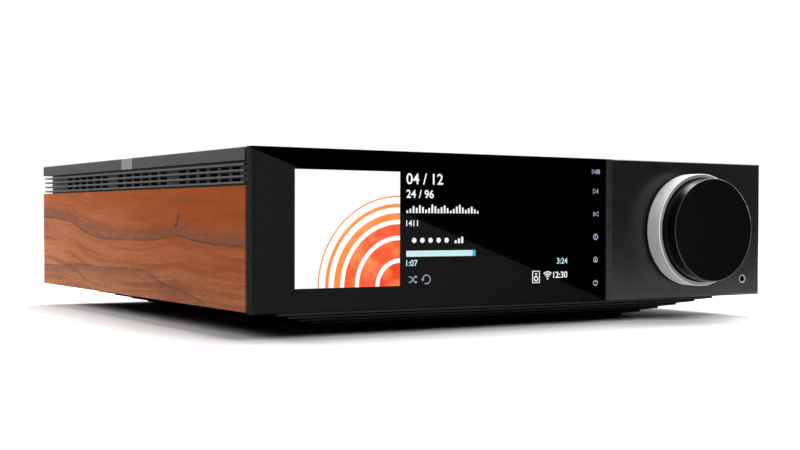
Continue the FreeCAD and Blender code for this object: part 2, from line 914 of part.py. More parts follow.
def rear_panel():
    half = wall_inner_x - panel_side_gap
    plate = box(-half, half, rear_inner_y, rear_panel_y, tray_floor_z, cover_inner_z - seat_gap)
    corner_inner = half - grille_wall - panel_side_gap
    corner_z = wall_top_z - grille_lap
    cuts = []
    for side in (-1, 1):
        xs = sorted((side * corner_inner, side * half))
        cuts.append(box(*xs, rear_inner_y, rear_panel_y, corner_z, cover_inner_z))
    rounds = [(x, terminal_z, terminal_stud_radius) for x in terminal_places()]
    rounds += [(x, z, line_barrel_radius) for x, z in line_places()]
    rounds += [(x, antenna_z, antenna_radius) for x in antenna_places()]
    rounds += [(x, lug_z, screw_radius) for x in lug_places()]
    cuts += [rod_y(x, z, rear_inner_y, rear_panel_y, radius + screw_gap) for x, z, radius in rounds]
    sockets = [
        (hdmi_x, hdmi_width, hdmi_height),
        (usb_x, usb_width, usb_height),
        (network_x, network_width, network_height),
    ]
    cuts += [shell_box(*socket, shell_gap, rear_inner_y, rear_panel_y) for socket in sockets]
    mains = [(inlet_z, inlet_width, inlet_height), (switch_z, switch_body_width, switch_body_height)]
    cuts += [mains_box(*opening, shell_gap, rear_inner_y, rear_panel_y) for opening in mains]
    return without(plate, cuts)


def binding_posts():
    posts = []
    for x in terminal_places():
        inner_end = rear_inner_y - terminal_inner_length
        collar = rod_y(x, terminal_z, rear_panel_y, terminal_face_y, terminal_collar_radius)
        stud = rod_y(x, terminal_z, inner_end, stud_tip_y, terminal_stud_radius)
        nut = rod_y(x, terminal_z, rear_inner_y - terminal_nut_thickness, rear_inner_y, terminal_nut_radius)
        bore = rod_y(x, terminal_z, stud_tip_y - plug_bore_depth, stud_tip_y, plug_bore_radius)
        posts.append(without(join([collar, stud, nut]), [bore]))
    return Part.makeCompound(posts)


def terminal_washer(x):
    front = washer_back_y + washer_thickness
    outer = rod_y(x, terminal_z, washer_back_y, front, washer_radius)
    hole = rod_y(x, terminal_z, washer_back_y, front, terminal_stud_radius + stud_gap)
    return without(outer, [hole])


def terminal_cap(x):
    body = rod_y(x, terminal_z, cap_back_y, cap_front_y, cap_radius)
    rims = chosen_edges(body, lambda b: b.YLength < cap_chamfer and b.XLength > cap_radius)
    body = body.makeChamfer(cap_chamfer, rims)
    thread = rod_y(x, terminal_z, cap_back_y, cap_front_y - cap_end_wall, terminal_stud_radius + stud_gap)
    mouth = rod_y(x, terminal_z, cap_back_y, cap_front_y, plug_bore_radius + cap_mouth_gap)
    return without(body, [thread, mouth])


def line_barrels():
    barrels = []
    for x, z in line_places():
        end = rear_panel_y + line_barrel_length
        outer = rod_y(x, z, rear_inner_y, end, line_barrel_radius)
        inner = rod_y(x, z, rear_inner_y, end, line_barrel_radius - line_barrel_wall)
        barrels.append(without(outer, [inner]))
    return Part.makeCompound(barrels)


def line_bodies():
    bodies = []
    top = max(line_z(row) for row in range(line_rows)) + line_first_row
    front = rear_inner_y - line_block_depth
    half = line_block_width / 2
    for x in line_columns():
        block = box(x - half, x + half, front, rear_inner_y, board_top_z, top)
        solids = [block]
        bores = []
        for row in range(line_rows):
            end = rear_panel_y + line_barrel_length - edge_break
            z = line_z(row)
            insert_radius = line_barrel_radius - line_barrel_wall - line_insert_gap
            solids.append(rod_y(x, z, rear_inner_y, end, insert_radius))
            bores.append(rod_y(x, z, end - line_bore_depth, end, line_bore_radius))
        bodies.append(without(join(solids), bores))
    return Part.makeCompound(bodies)


def digital_socket(x, width, height, length, wall, cavity_depth, tongue):
    end = rear_panel_y + shell_proud
    outer = shell_box(x, width, height, 0, end - length, end)
    cavity = shell_box(x, width, height, -wall, end - cavity_depth, end)
    shape = without(outer, [cavity])
    if not tongue:
        return shape
    tongue_width, tongue_height, tongue_rise = tongue
    half = tongue_width / 2
    root = end - cavity_depth
    z = board_top_z + tongue_rise
    return join([shape, box(x - half, x + half, root, root + tongue_length, z, z + tongue_height)])


def hdmi_socket():
    middle = (hdmi_height - hdmi_tongue_height) / 2
    return digital_socket(hdmi_x, hdmi_width, hdmi_height, shell_length, shell_wall, shell_cavity_depth,
                          (hdmi_tongue_width, hdmi_tongue_height, middle))


def usb_socket():
    high = usb_height - 2 * shell_wall - usb_tongue_height
    return digital_socket(usb_x, usb_width, usb_height, shell_length, shell_wall, shell_cavity_depth,
                          (usb_tongue_width, usb_tongue_height, high))


def network_socket():
    return digital_socket(network_x, network_width, network_height, network_length, network_wall,
                          network_cavity_depth, None)


def antenna_sockets():
    sockets = []
    for x in antenna_places():
        end = rear_panel_y + antenna_length
        face = rear_panel_y + antenna_flange_thickness
        barrel = rod_y(x, antenna_z, rear_inner_y - antenna_inner_length, end, antenna_radius)
        flange = rod_y(x, antenna_z, rear_panel_y, face, antenna_flange_radius)
        bore = rod_y(x, antenna_z, face, end, antenna_bore_radius)
        sockets.append(without(join([barrel, flange]), [bore]))
    return Part.makeCompound(sockets)


def inlet_face_y():
    return rear_panel_y + inlet_flange_thickness


def mains_inlet():
    face = inlet_face_y()
    floor = face - inlet_depth
    flange = mains_box(inlet_z, inlet_width, inlet_height, inlet_flange_rim, rear_panel_y, face)
    body = mains_box(inlet_z, inlet_width, inlet_height, 0, floor - inlet_back, rear_panel_y)
    cavity = mains_box(inlet_z, inlet_width, inlet_height, -inlet_wall, floor, face)
    return without(join([flange, body]), [cavity] + inlet_blade_list())


def inlet_blade_list():
    root = inlet_face_y() - inlet_depth
    places = [(-blade_spread, -blade_height / 2), (0, blade_height / 2), (blade_spread, -blade_height / 2)]
    blades = []
    for dx, dz in places:
        x = mains_x + dx
        z = inlet_z + dz
        blades.append(box(x - blade_width / 2, x + blade_width / 2, root - blade_tail, root + blade_length,
                          z - blade_height / 2, z + blade_height / 2))
    return blades


def inlet_blades():
    return Part.makeCompound(inlet_blade_list())


def switch_housing():
    face = rear_panel_y + switch_flange_thickness
    back = face - switch_body_depth
    flange = mains_box(switch_z, switch_body_width, switch_body_height, switch_flange_rim, rear_panel_y, face)
    body = mains_box(switch_z, switch_body_width, switch_body_height, 0, back, rear_panel_y)
    well_radius = rocker_radius + rocker_gap
    well = rocker_rod(rocker_side_gap, well_radius)
    mouth = mains_box(switch_z, rocker_width + 2 * rocker_side_gap, 2 * well_radius, 0, rocker_y, face)
    pin_hole = rocker_rod(rocker_pin_reach + rocker_side_gap, rocker_pin_radius + running_gap)
    return without(join([flange, body]), [well, mouth, pin_hole])


def rocker_rod(reach, radius):
    half = rocker_width / 2 + reach
    return rod_x(mains_x - half, mains_x + half, rocker_y, switch_z, radius)


def power_rocker():
    body = rocker_rod(0, rocker_radius)
    left = mains_x - rocker_width / 2
    reach = rocker_radius * 2
    vertex = rocker_y + rocker_hollow
    rise = reach * math.tan(math.radians(rocker_slope_deg))
    far = vertex + reach
    corners = [
        Vector(left, vertex, switch_z),
        Vector(left, vertex + rise, switch_z + reach),
        Vector(left, far, switch_z + reach),
        Vector(left, far, switch_z - reach),
        Vector(left, vertex + rise, switch_z - reach),
    ]
    face = Part.Face(Part.makePolygon(corners + corners[:1]))
    body = without(body, [face.extrude(Vector(rocker_width, 0, 0))])
    rocker = join([body, rocker_rod(rocker_pin_reach, rocker_pin_radius)])
    rocker.rotate(Vector(mains_x, rocker_y, switch_z), Vector(1, 0, 0), rocker_throw_deg / 2)
    return rocker


# Circuit boards, each on four standoffs
def board_areas():
    rear = rear_inner_y - board_rear_gap
    side = wall_inner_x - board_side_gap
    amplifier_left = mains_x + inlet_width / 2 + inlet_flange_rim + amplifier_board_gap
    amplifier_front = rear - amplifier_board_depth
    power_front = carrier_back_y + power_board_front_inset
    power_rear = amplifier_front - power_board_rear_gap
    half_gap = board_split_gap / 2
    return {
        "main_board": (board_split_x + half_gap, side, rear - main_board_depth, rear),
        "amplifier_board": (amplifier_left, board_split_x - half_gap, amplifier_front, rear),
        "power_board": (-side, power_board_width - side, power_front, power_rear),
    }


def circuit_board(name):
    board = box(*board_areas()[name], board_bottom_z, board_top_z)
    if name != "main_board":
        return board
    return join([board, header(ribbon_x, board_areas()[name][2], board_top_z)])


def board_standoffs():
    posts = []
    for x0, x1, y0, y1 in board_areas().values():
        for x in (x0 + standoff_inset, x1 - standoff_inset):
            for y in (y0 + standoff_inset, y1 - standoff_inset):
                posts.append(rod_z(x, y, tray_floor_z, board_bottom_z, standoff_radius))
    return Part.makeCompound(posts)


def amplifier_heat_sink():
    board_x0, board_x1, board_y0, board_y1 = board_areas()["amplifier_board"]
    x0 = board_x0 + heat_sink_side_inset
    x1 = board_x1 - heat_sink_side_inset
    y0 = board_y0 + heat_sink_front
    y1 = y0 + heat_sink_length
    fin_z0 = board_top_z + heat_sink_base
    fin_z1 = board_top_z + heat_sink_height
    base = box(x0, x1, y0, y1, board_top_z, fin_z0)
    fins = [box(x, x + heat_sink_fin_thickness, y0, y1, fin_z0, fin_z1)
            for x in along(x0, x1 - heat_sink_fin_thickness, heat_sink_fins)]
    return join([base] + fins)


def board_middle_x(name):
    x0, x1, y0, y1 = board_areas()[name]
    return (x0 + x1) / 2


def standing_cans(name, y, pitch, count, radius, height):
    first = board_middle_x(name) - pitch * (count - 1) / 2
    top = board_top_z + height
    return [rod_z(first + pitch * index, y, board_top_z, top, radius) for index in range(count)]


def output_inductors():
    name = "amplifier_board"
    y = board_areas()[name][2] + inductor_row
    cans = standing_cans(name, y, inductor_pitch, inductor_count, inductor_radius, inductor_height)
    return Part.makeCompound(cans)


def bulk_capacitors():
    name = "power_board"
    y = board_areas()[name][3] - capacitor_rear_inset
    cans = standing_cans(name, y, capacitor_pitch, capacitor_count, capacitor_radius, capacitor_height)
    return Part.makeCompound([can.makeChamfer(cap_chamfer, can.Edges[:1]) for can in cans])


# A block centred across a board, a set distance behind the board's front edge
def board_block(name, front, width, depth, height):
    x = board_middle_x(name)
    y = board_areas()[name][2] + front
    return box(x - width / 2, x + width / 2, y, y + depth, board_top_z, board_top_z + height)


def power_transformer():
    size = (transformer_width, transformer_depth, transformer_height)
    return board_block("power_board", transformer_front, *size)


def streaming_module():
    size = (module_width, module_depth, module_height)
    return board_block("main_board", module_front, *size)


def ribbon_cable():
    y0 = control_board_back_y + header_depth
    y1 = board_areas()["main_board"][2]
    mid = (y0 + y1) / 2
    low = board_top_z + header_height / 2
    high = low + ribbon_thickness
    x = ribbon_x - ribbon_width / 2
    below = Part.Arc(Vector(x, y0, low), Vector(x, mid, low - ribbon_sag), Vector(x, y1, low)).toShape()
    above = Part.Arc(Vector(x, y0, high), Vector(x, mid, high - ribbon_sag), Vector(x, y1, high)).toShape()
    ends = [Part.LineSegment(Vector(x, y, low), Vector(x, y, high)).toShape() for y in (y0, y1)]
    wire = Part.Wire(Part.__sortEdges__([below, above] + ends))
    return Part.Face(wire).extrude(Vector(ribbon_width, 0, 0))


key_names = ("play_key", "next_key", "previous_key", "info_key", "home_key", "power_key")
terminal_names = ("left_negative", "left_positive", "right_negative", "right_positive")


def nodes():
    shapes = {
        "front_glass": front_glass(),
        "front_frame": front_frame(),
        "control_panel": control_panel(),
        "front_carrier": front_carrier(),
        "lcd_module": lcd_module(),
        "key_switches": key_switches(),
        "control_board": control_board(),
        "selector_ring": selector_ring(),
        "volume_knob": volume_knob(),
        "volume_shaft": volume_shaft(),
        "selector_encoder": selector_encoder(),
        "volume_encoder": volume_encoder(),
        "headphone_socket": headphone_socket(),
        "top_cover": top_cover(),
        "cover_inlays": cover_inlays(),
        "vent_grille_left": vent_grille(-1),
        "vent_grille_right": vent_grille(1),
        "side_panel_left": side_panel(-1),
        "side_panel_right": side_panel(1),
        "panel_magnets": panel_magnets(),
        "chassis_tray": chassis_tray(),
        "stepped_base": stepped_base(),
        "rubber_feet": rubber_feet(),
        "case_screws": case_screws(),
        "rear_panel": rear_panel(),
        "binding_posts": binding_posts(),
        "line_barrels": line_barrels(),
        "line_bodies": line_bodies(),
        "hdmi_socket": hdmi_socket(),
        "usb_socket": usb_socket(),
        "network_socket": network_socket(),
        "antenna_sockets": antenna_sockets(),
        "mains_inlet": mains_inlet(),
        "inlet_blades": inlet_blades(),
        "switch_housing": switch_housing(),
        "power_rocker": power_rocker(),
        "board_standoffs": board_standoffs(),
        "amplifier_heat_sink": amplifier_heat_sink(),
        "output_inductors": output_inductors(),
        "bulk_capacitors": bulk_capacitors(),
        "power_transformer": power_transformer(),
        "streaming_module": streaming_module(),
        "ribbon_cable": ribbon_cable(),
    }
    for index, name in enumerate(key_names):
        shapes[name] = key(index)
    for name, x in zip(terminal_names, terminal_places()):
        shapes["terminal_washer_" + name] = terminal_washer(x)
        shapes["terminal_cap_" + name] = terminal_cap(x)
    for name in board_areas():
        shapes[name] = circuit_board(name)
    return shapes


os.makedirs("parts", exist_ok=True)
for name, shape in nodes().items():
    if not shape.isValid():
        print("not valid:", name)
    shape.exportStep("parts/" + name + ".step")
print("total span", round(knob_front_y, 3), round(rear_y, 3), "width", body_width, "height", body_height)
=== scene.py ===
import bpy
import bmesh
from math import cos, sin, pi, radians
from mathutils import Vector, Matrix


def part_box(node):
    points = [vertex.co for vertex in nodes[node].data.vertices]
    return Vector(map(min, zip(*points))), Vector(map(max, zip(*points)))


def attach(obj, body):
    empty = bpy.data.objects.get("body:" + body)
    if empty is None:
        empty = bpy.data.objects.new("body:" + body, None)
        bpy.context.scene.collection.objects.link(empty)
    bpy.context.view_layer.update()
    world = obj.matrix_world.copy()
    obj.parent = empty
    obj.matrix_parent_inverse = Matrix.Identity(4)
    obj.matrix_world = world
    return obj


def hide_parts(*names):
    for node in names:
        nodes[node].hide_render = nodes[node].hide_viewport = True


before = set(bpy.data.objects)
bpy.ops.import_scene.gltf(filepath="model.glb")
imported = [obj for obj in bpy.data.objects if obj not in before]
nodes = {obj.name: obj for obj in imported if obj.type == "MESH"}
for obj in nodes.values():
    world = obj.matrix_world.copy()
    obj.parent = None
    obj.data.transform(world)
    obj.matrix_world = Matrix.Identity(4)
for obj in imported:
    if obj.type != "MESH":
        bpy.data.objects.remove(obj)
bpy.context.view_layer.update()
mm = 0.001
print("frame loaded:", len(nodes), "nodes")


def millimetres(**sizes):
    return {name: size * mm for name, size in sizes.items()}


def middleOf(low, high):
    # the middle of a box, as (x, z)
    return (low.x + high.x) / 2, (low.z + high.z) / 2


def rectangle(left, bottom, right, top):
    # the four corners in order
    return [(left, bottom), (right, bottom), (right, top), (left, top)]


def sidesOf(points):
    # each point with the one after it, and the last with the first
    return list(zip(points, points[1:] + points[:1]))


# The boxes that more than one piece is placed from, in metres
glassLow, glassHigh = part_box("front_glass")
ringLow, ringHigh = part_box("selector_ring")
knobLow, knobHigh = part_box("volume_knob")
woodLow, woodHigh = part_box("side_panel_left")
knobAxis = middleOf(knobLow, knobHigh)


# Node helpers
def feed(node, inputs):
    # sets a node's inputs, or links them where a value is another node's output
    for name, value in inputs.items():
        socket = node.inputs[name]
        if isinstance(value, bpy.types.NodeSocket):
            node.id_data.links.new(value, socket)
        else:
            socket.default_value = (*value, 1) if socket.type == "RGBA" else value


def addNode(tree, kind, inputs=None, **settings):
    node = tree.nodes.new("ShaderNode" + kind)
    for name, value in settings.items():
        setattr(node, name, value)
    feed(node, inputs or {})
    return node


def calc(operation, result, *others):
    # works from left to right, in the tree that one of the values comes from
    tree = next(value.id_data for value in (result, *others) if isinstance(value, bpy.types.NodeSocket))
    for value in others:
        result = addNode(tree, "Math", {0: result, 1: value}, operation=operation).outputs[0]
    return result


def plus(*values):
    return calc("ADD", *values)


def minus(*values):
    return calc("SUBTRACT", *values)


def times(*values):
    return calc("MULTIPLY", *values)


def vectorCalc(operation, a, b):
    return addNode(a.id_data, "VectorMath", {0: a, 1: b}, operation=operation)


def mixColors(factor, first, second):
    inputs = {0: factor, 6: first, 7: second}
    return addNode(factor.id_data, "Mix", inputs, data_type="RGBA").outputs[2]


def mapRange(value, low, high, outLow=0.0, outHigh=1.0, smooth=False):
    ends = {"Value": value, "From Min": low, "From Max": high, "To Min": outLow, "To Max": outHigh}
    kind = "SMOOTHSTEP" if smooth else "LINEAR"
    return addNode(value.id_data, "MapRange", ends, interpolation_type=kind).outputs["Result"]


def fade(value, low, high, top=1.0):
    # falls smoothly from top to nothing
    return mapRange(value, low, high, top, 0.0, smooth=True)


def noise(vector, scale, detail=3.0, distortion=0.0):
    inputs = {"Vector": vector, "Scale": scale, "Detail": detail, "Distortion": distortion}
    return addNode(vector.id_data, "TexNoise", inputs).outputs[0]


def splitAxes(vector):
    return addNode(vector.id_data, "SeparateXYZ", {0: vector}).outputs


def objectPlace(tree):
    return addNode(tree, "TexCoord").outputs["Object"]


def distanceFromAxis(tree, axis):
    # how far a point is from a line along Y, in metres
    flat = vectorCalc("MULTIPLY", objectPlace(tree), (1, 0, 1)).outputs[0]
    return vectorCalc("DISTANCE", flat, (axis[0], 0, axis[1])).outputs["Value"]


materials = {}


def newMaterial(name, kind="BsdfPrincipled"):
    materials[name] = bpy.data.materials.new(name)
    materials[name].use_nodes = True
    tree = materials[name].node_tree
    tree.nodes.clear()
    shader = addNode(tree, kind)
    addNode(tree, "OutputMaterial", {"Surface": shader.outputs[0]})
    return tree, shader


def newGroup(name, inputs, outputs):
    # inputs and outputs give the kind of each named socket
    group = bpy.data.node_groups.new(name, "ShaderNodeTree")
    for side, sockets in (("INPUT", inputs), ("OUTPUT", outputs)):
        for label, kind in sockets.items():
            group.interface.new_socket(label, in_out=side, socket_type="NodeSocket" + kind)
    return group, group.nodes.new("NodeGroupInput").outputs, group.nodes.new("NodeGroupOutput")


# Shared effects
def makeGrainGroup():
    # random grain of paint, blasted metal and moulded plastic, over a broad change of shade
    group, start, end = newGroup(
        "fineGrain",
        {"Vector": "Vector", "Size": "Float", "Color": "Color", "Tint": "Float", "Roughness": "Float",
         "Spread": "Float"},
        {"Color": "Color", "Roughness": "Float", "Height": "Float"})
    scale = calc("DIVIDE", 1.0, start["Size"])
    fine = noise(start["Vector"], scale)
    broad = noise(start["Vector"], times(scale, 0.02), 5.0)
    both = plus(times(fine, 0.6), times(broad, 0.4))
    shade = plus(1.0, times(minus(both, 0.5), start["Tint"]))
    color = addNode(group, "VectorMath", {0: start["Color"], "Scale": shade}, operation="SCALE")
    rough = plus(start["Roughness"], times(minus(broad, 0.5), start["Spread"]))
    feed(end, {"Color": color.outputs[0], "Roughness": rough, "Height": fine})
    return group


def makeStreakGroup():
    # long fine lines, as drawing metal and wood pores leave
    group, start, end = newGroup("fineStreaks", {"Vector": "Vector", "Across": "Vector", "Detail": "Float"},
                                 {"Mask": "Float", "Height": "Float"})
    stretched = vectorCalc("MULTIPLY", start["Vector"], start["Across"]).outputs[0]
    lines = noise(stretched, 1.0, start["Detail"])
    feed(end, {"Mask": mapRange(lines, 0.3, 0.7), "Height": lines})
    return group


grainGroup = makeGrainGroup()
streakGroup = makeStreakGroup()


def streaks(vector, across, detail):
    inputs = {"Vector": vector, "Across": across, "Detail": detail}
    node = addNode(vector.id_data, "Group", inputs, node_tree=streakGroup)
    return node.outputs["Mask"], node.outputs["Height"]


def bumpFrom(height, distance, strength=0.6):
    inputs = {"Strength": strength, "Distance": distance * mm, "Height": height}
    return addNode(height.id_data, "Bump", inputs).outputs["Normal"]


def grained(name, color, roughness, size=0.5, tint=0.25, spread=0.08, bump=0.01, metallic=0.0,
            specular=0.5):
    # size of the grain and depth of the bump in millimetres
    tree, shader = newMaterial(name)
    inputs = {"Vector": objectPlace(tree), "Size": size * mm, "Color": color, "Tint": tint,
              "Roughness": roughness, "Spread": spread}
    grain = addNode(tree, "Group", inputs, node_tree=grainGroup).outputs
    feed(shader, {"Base Color": grain["Color"], "Roughness": grain["Roughness"], "Metallic": metallic,
                  "Specular IOR Level": specular, "Normal": bumpFrom(grain["Height"], bump)})


# Finishes of the painted, moulded and plated pieces
finishes = {
    "controlSatin": dict(color=(0.0052, 0.0052, 0.0054), roughness=0.3, size=0.22, bump=0.012,
                         specular=0.72),
    "frameBlack": dict(color=(0.014, 0.0142, 0.0146), roughness=0.6, size=0.3, bump=0.02, specular=0.01),
    "keyBlack": dict(color=(0.009, 0.009, 0.0093), roughness=0.42, size=0.2),
    "knobBlack": dict(color=(0.0014, 0.0014, 0.0015), roughness=0.2, size=0.2, specular=0.13),
    "knobFace": dict(color=(0.0012, 0.0012, 0.0013), roughness=0.5, size=0.2, specular=0.04),
    "knobEdge": dict(color=(0.06, 0.06, 0.062), roughness=0.26, size=0.3, bump=0.004, tint=0.1,
                     metallic=1.0),
    "ringFace": dict(color=(0.36, 0.36, 0.365), roughness=0.36, size=0.15, bump=0.004, tint=0.12,
                     metallic=0.45),
    # painted highlight: a pale copy of the ring metal for the outer front chamfer of the source ring
    "ringEdge": dict(color=(0.9, 0.9, 0.905), roughness=0.4, size=0.15, bump=0.004, tint=0.1, metallic=0.2),
    "coverPaint": dict(color=(0.0245, 0.0249, 0.0253), roughness=0.65, size=0.35, bump=0.06, tint=0.4,
                       specular=0.16),
    "inlayMetal": dict(color=(0.135, 0.135, 0.138), roughness=0.45, size=0.25, bump=0.008, metallic=0.4,
                       specular=0.2),
    "grilleBlack": dict(color=(0.024, 0.0244, 0.0248), roughness=0.5, size=0.3, bump=0.02, specular=0.2),
    "rearBlack": dict(color=(0.02, 0.02, 0.021), roughness=0.5, size=0.35, bump=0.04, specular=0.3),
    "trayBlack": dict(color=(0.005, 0.005, 0.0052), roughness=0.6, size=0.35, bump=0.03, specular=0.06),
    "screwBlack": dict(color=(0.03, 0.03, 0.031), roughness=0.3, size=0.4),
    "footRubber": dict(color=(0.014, 0.014, 0.014), roughness=0.8, bump=0.05, specular=0.2),
    "socketBlack": dict(color=(0.012, 0.012, 0.012), roughness=0.38, size=0.3),
    "boreBlack": dict(color=(0.002, 0.002, 0.002), roughness=0.6, size=0.3, specular=0.1),
    "switchBlack": dict(color=(0.009, 0.009, 0.01), roughness=0.24, bump=0.006),
    "insertWhite": dict(color=(0.75, 0.75, 0.72), roughness=0.35, bump=0.006, tint=0.05),
    "insertRed": dict(color=(0.5, 0.01, 0.008), roughness=0.35, bump=0.006, tint=0.1),
    "capRed": dict(color=(0.42, 0.012, 0.01), roughness=0.28, tint=0.15),
    "capBlack": dict(color=(0.012, 0.012, 0.012), roughness=0.28, tint=0.15),
    "goldPlate": dict(color=(0.83, 0.6, 0.25), roughness=0.2, bump=0.004, tint=0.1, metallic=1.0),
    "brightSteel": dict(color=(0.62, 0.62, 0.63), roughness=0.24, size=0.6, bump=0.004, tint=0.1,
                        metallic=1.0),
    "zincSteel": dict(color=(0.5, 0.5, 0.51), roughness=0.42, size=4.0, metallic=1.0, spread=0.2),
    "moduleShield": dict(color=(0.45, 0.45, 0.46), roughness=0.36, size=1.2, tint=0.2, metallic=1.0),
    "canMetal": dict(color=(0.5, 0.5, 0.52), roughness=0.3, size=0.8, tint=0.15, metallic=1.0),
    "heatSinkBlack": dict(color=(0.05, 0.05, 0.052), roughness=0.5, size=0.4, bump=0.02, metallic=0.4),
    "boardGreen": dict(color=(0.012, 0.055, 0.03), roughness=0.35, size=2.5, bump=0.03, tint=0.9),
    "windingTape": dict(color=(0.5, 0.36, 0.06), roughness=0.35, size=1.5, bump=0.03, tint=0.3),
    "ribbonGrey": dict(color=(0.42, 0.42, 0.44), roughness=0.45, size=0.8, bump=0.03, tint=0.2),
    "printWhite": dict(color=(0.7, 0.7, 0.7), roughness=0.6, size=0.3, tint=0.1),
}
for name, values in finishes.items():
    grained(name, **values)


def makeShaftSteel():
    # drawn rod with lines that run round it
    tree, shader = newMaterial("shaftSteel")
    mask, height = streaks(objectPlace(tree), (20, 2000, 20), 2.0)
    feed(shader, {"Base Color": mixColors(mask, (0.53, 0.53, 0.54), (0.6, 0.6, 0.61)),
                  "Roughness": mapRange(mask, 0, 1, 0.22, 0.3), "Metallic": 1.0,
                  "Normal": bumpFrom(height, 0.01, 0.3)})


# The stepped base: black layers, with a painted highlight that makes their front and rear edges paler, and
# painted shade that makes it darker from the top to the floor
baseToneAndRiserHighlight = {"face": (0.002, 0.002, 0.0022), "edge": (0.07, 0.07, 0.071), "fadeTop": 11.5 * mm,
            "floorShare": 0.08, "roughness": 0.6, "specular": 0.0}


def makeBaseBlackAndHighlight():
    tree, shader = newMaterial("baseBlack")
    place = objectPlace(tree)
    speckle = noise(place, 3000.0)
    facing = splitAxes(addNode(tree, "NewGeometry").outputs["Normal"])["Y"]
    toEnds = addNode(tree, "Math", {0: facing}, operation="ABSOLUTE").outputs[0]
    height = splitAxes(place)["Z"]
    # painted highlight on the faces that look to the front or rear, fading into painted shade towards the
    # floor
    edge = times(mapRange(toEnds, 0.8, 1.0),
                 mapRange(height, 0.0, baseToneAndRiserHighlight["fadeTop"], baseToneAndRiserHighlight["floorShare"], 1.0),
                 mapRange(speckle, 0.2, 0.8, 0.8, 1.0))
    feed(shader, {"Base Color": mixColors(edge, baseToneAndRiserHighlight["face"], baseToneAndRiserHighlight["edge"]),
                  "Roughness": baseToneAndRiserHighlight["roughness"], "Specular IOR Level": baseToneAndRiserHighlight["specular"],
                  "Normal": bumpFrom(speckle, 0.02)})


def makeGlass():
    tree, shader = newMaterial("frontGlass")
    smears = noise(objectPlace(tree), 35.0, 4.0)
    feed(shader, {"Base Color": (0.96, 0.97, 0.98), "Transmission Weight": 1.0, "IOR": 1.5,
                  "Roughness": mapRange(smears, 0.4, 0.75, 0.0, 0.006)})


def makeBackPrint(name, color):
    tree, shader = newMaterial(name)
    speckle = noise(objectPlace(tree), 2500.0, 2.0)
    feed(shader, {"Base Color": mixColors(speckle, [c * 0.7 for c in color], color), "Roughness": 0.6,
                  "Specular IOR Level": 0.0})


def lightUp(shader, color, strength):
    feed(shader, {"Base Color": (0, 0, 0), "Specular IOR Level": 0.0, "Emission Color": color,
                  "Emission Strength": strength})


def glowing(name, color, strength):
    tree, shader = newMaterial(name)
    cells = times(noise(objectPlace(tree), 900.0, 1.0), 0.08)
    lightUp(shader, mixColors(cells, color, (1, 1, 1)), strength)


# Walnut veneer. Points are (along, up): 0 rear to 1 front, and 0 bottom to 1 top. A line's grey feather and
# its thin dark core give how far they reach above and below it, and how strong they are
walnut = {
    "orange": (0.325, 0.063, 0.0047), "tan": (0.46, 0.184, 0.09), "brown": (0.19, 0.049, 0.017),
    "grey": (0.15, 0.065, 0.042), "line": (0.06, 0.024, 0.015), "pore": (0.08, 0.03, 0.014),
    "roughness": 0.55, "specular": 0.02,
    "lines": {
        "upper": {
            "points": [(0.0, 0.74), (0.1, 0.72), (0.2, 0.67), (0.25, 0.61), (0.31, 0.56), (0.37, 0.535),
                       (0.5, 0.53), (0.61, 0.535), (0.67, 0.555), (0.73, 0.58), (0.78, 0.56), (0.84, 0.535),
                       (1.0, 0.52)],
            "feather": (0.2, 0.012, 0.9), "thin": (0.022, 0.012, 0.55)},
        "lower": {
            "points": [(0.0, 0.21), (0.12, 0.22), (0.22, 0.255), (0.38, 0.25), (0.52, 0.255), (0.59, 0.25),
                       (0.63, 0.22), (0.66, 0.17), (0.71, 0.13), (0.78, 0.1), (0.85, 0.03), (1.0, -0.2)],
            "feather": (0.012, 0.17, 0.75), "thin": (0.01, 0.02, 0.36)},
        "corner": {
            "points": [(0.0, -0.08), (0.1, 0.0), (0.2, 0.05), (0.3, 0.02), (0.42, -0.1), (1.0, -0.4)],
            "feather": (0.012, 0.1, 0.6)},
        "branch": {
            "points": [(0.0, 0.5), (0.75, 0.62), (0.78, 0.69), (0.83, 0.73), (0.9, 0.72), (1.0, 0.7)],
            "thin": (0.014, 0.008, 0.5), "span": (0.748, 0.765, 0.84, 0.9)},
    },
    # how fine each kind of streak is along the veneer, up it and into it
    "poreScale": (60, 330, 40), "fleckScale": (95, 210, 40), "fibreScale": (14, 110, 40),
    # the part of its mask that a stain comes in over, and its strength at either end
    "contour": (0.47, 0.64, 0.0, 0.58), "fineContour": (0.5, 0.8, 0.0, 0.26),
    "pores": (0.8, 1.0, 0.0, 0.45), "flecks": (0.7, 0.95, 0.0, 0.75),
    # the strength of the fibres, and where a dash fades from and to, with its strength
    "fibres": 0.36, "dash": (0.1, 1.8, 0.85),
    "patch": {"along": (0.02, 0.17), "bottom": (-0.26, -0.14), "top": (-0.1, -0.04), "strength": 0.6},
    "knot": {"place": (0.737, 0.73), "size": (0.03, 0.09), "strength": 0.4, "lean": 0.11},
    "dashes": (((0.733, 0.675), (0.0058, 0.03)), ((0.741, 0.745), (0.0046, 0.034))),
}


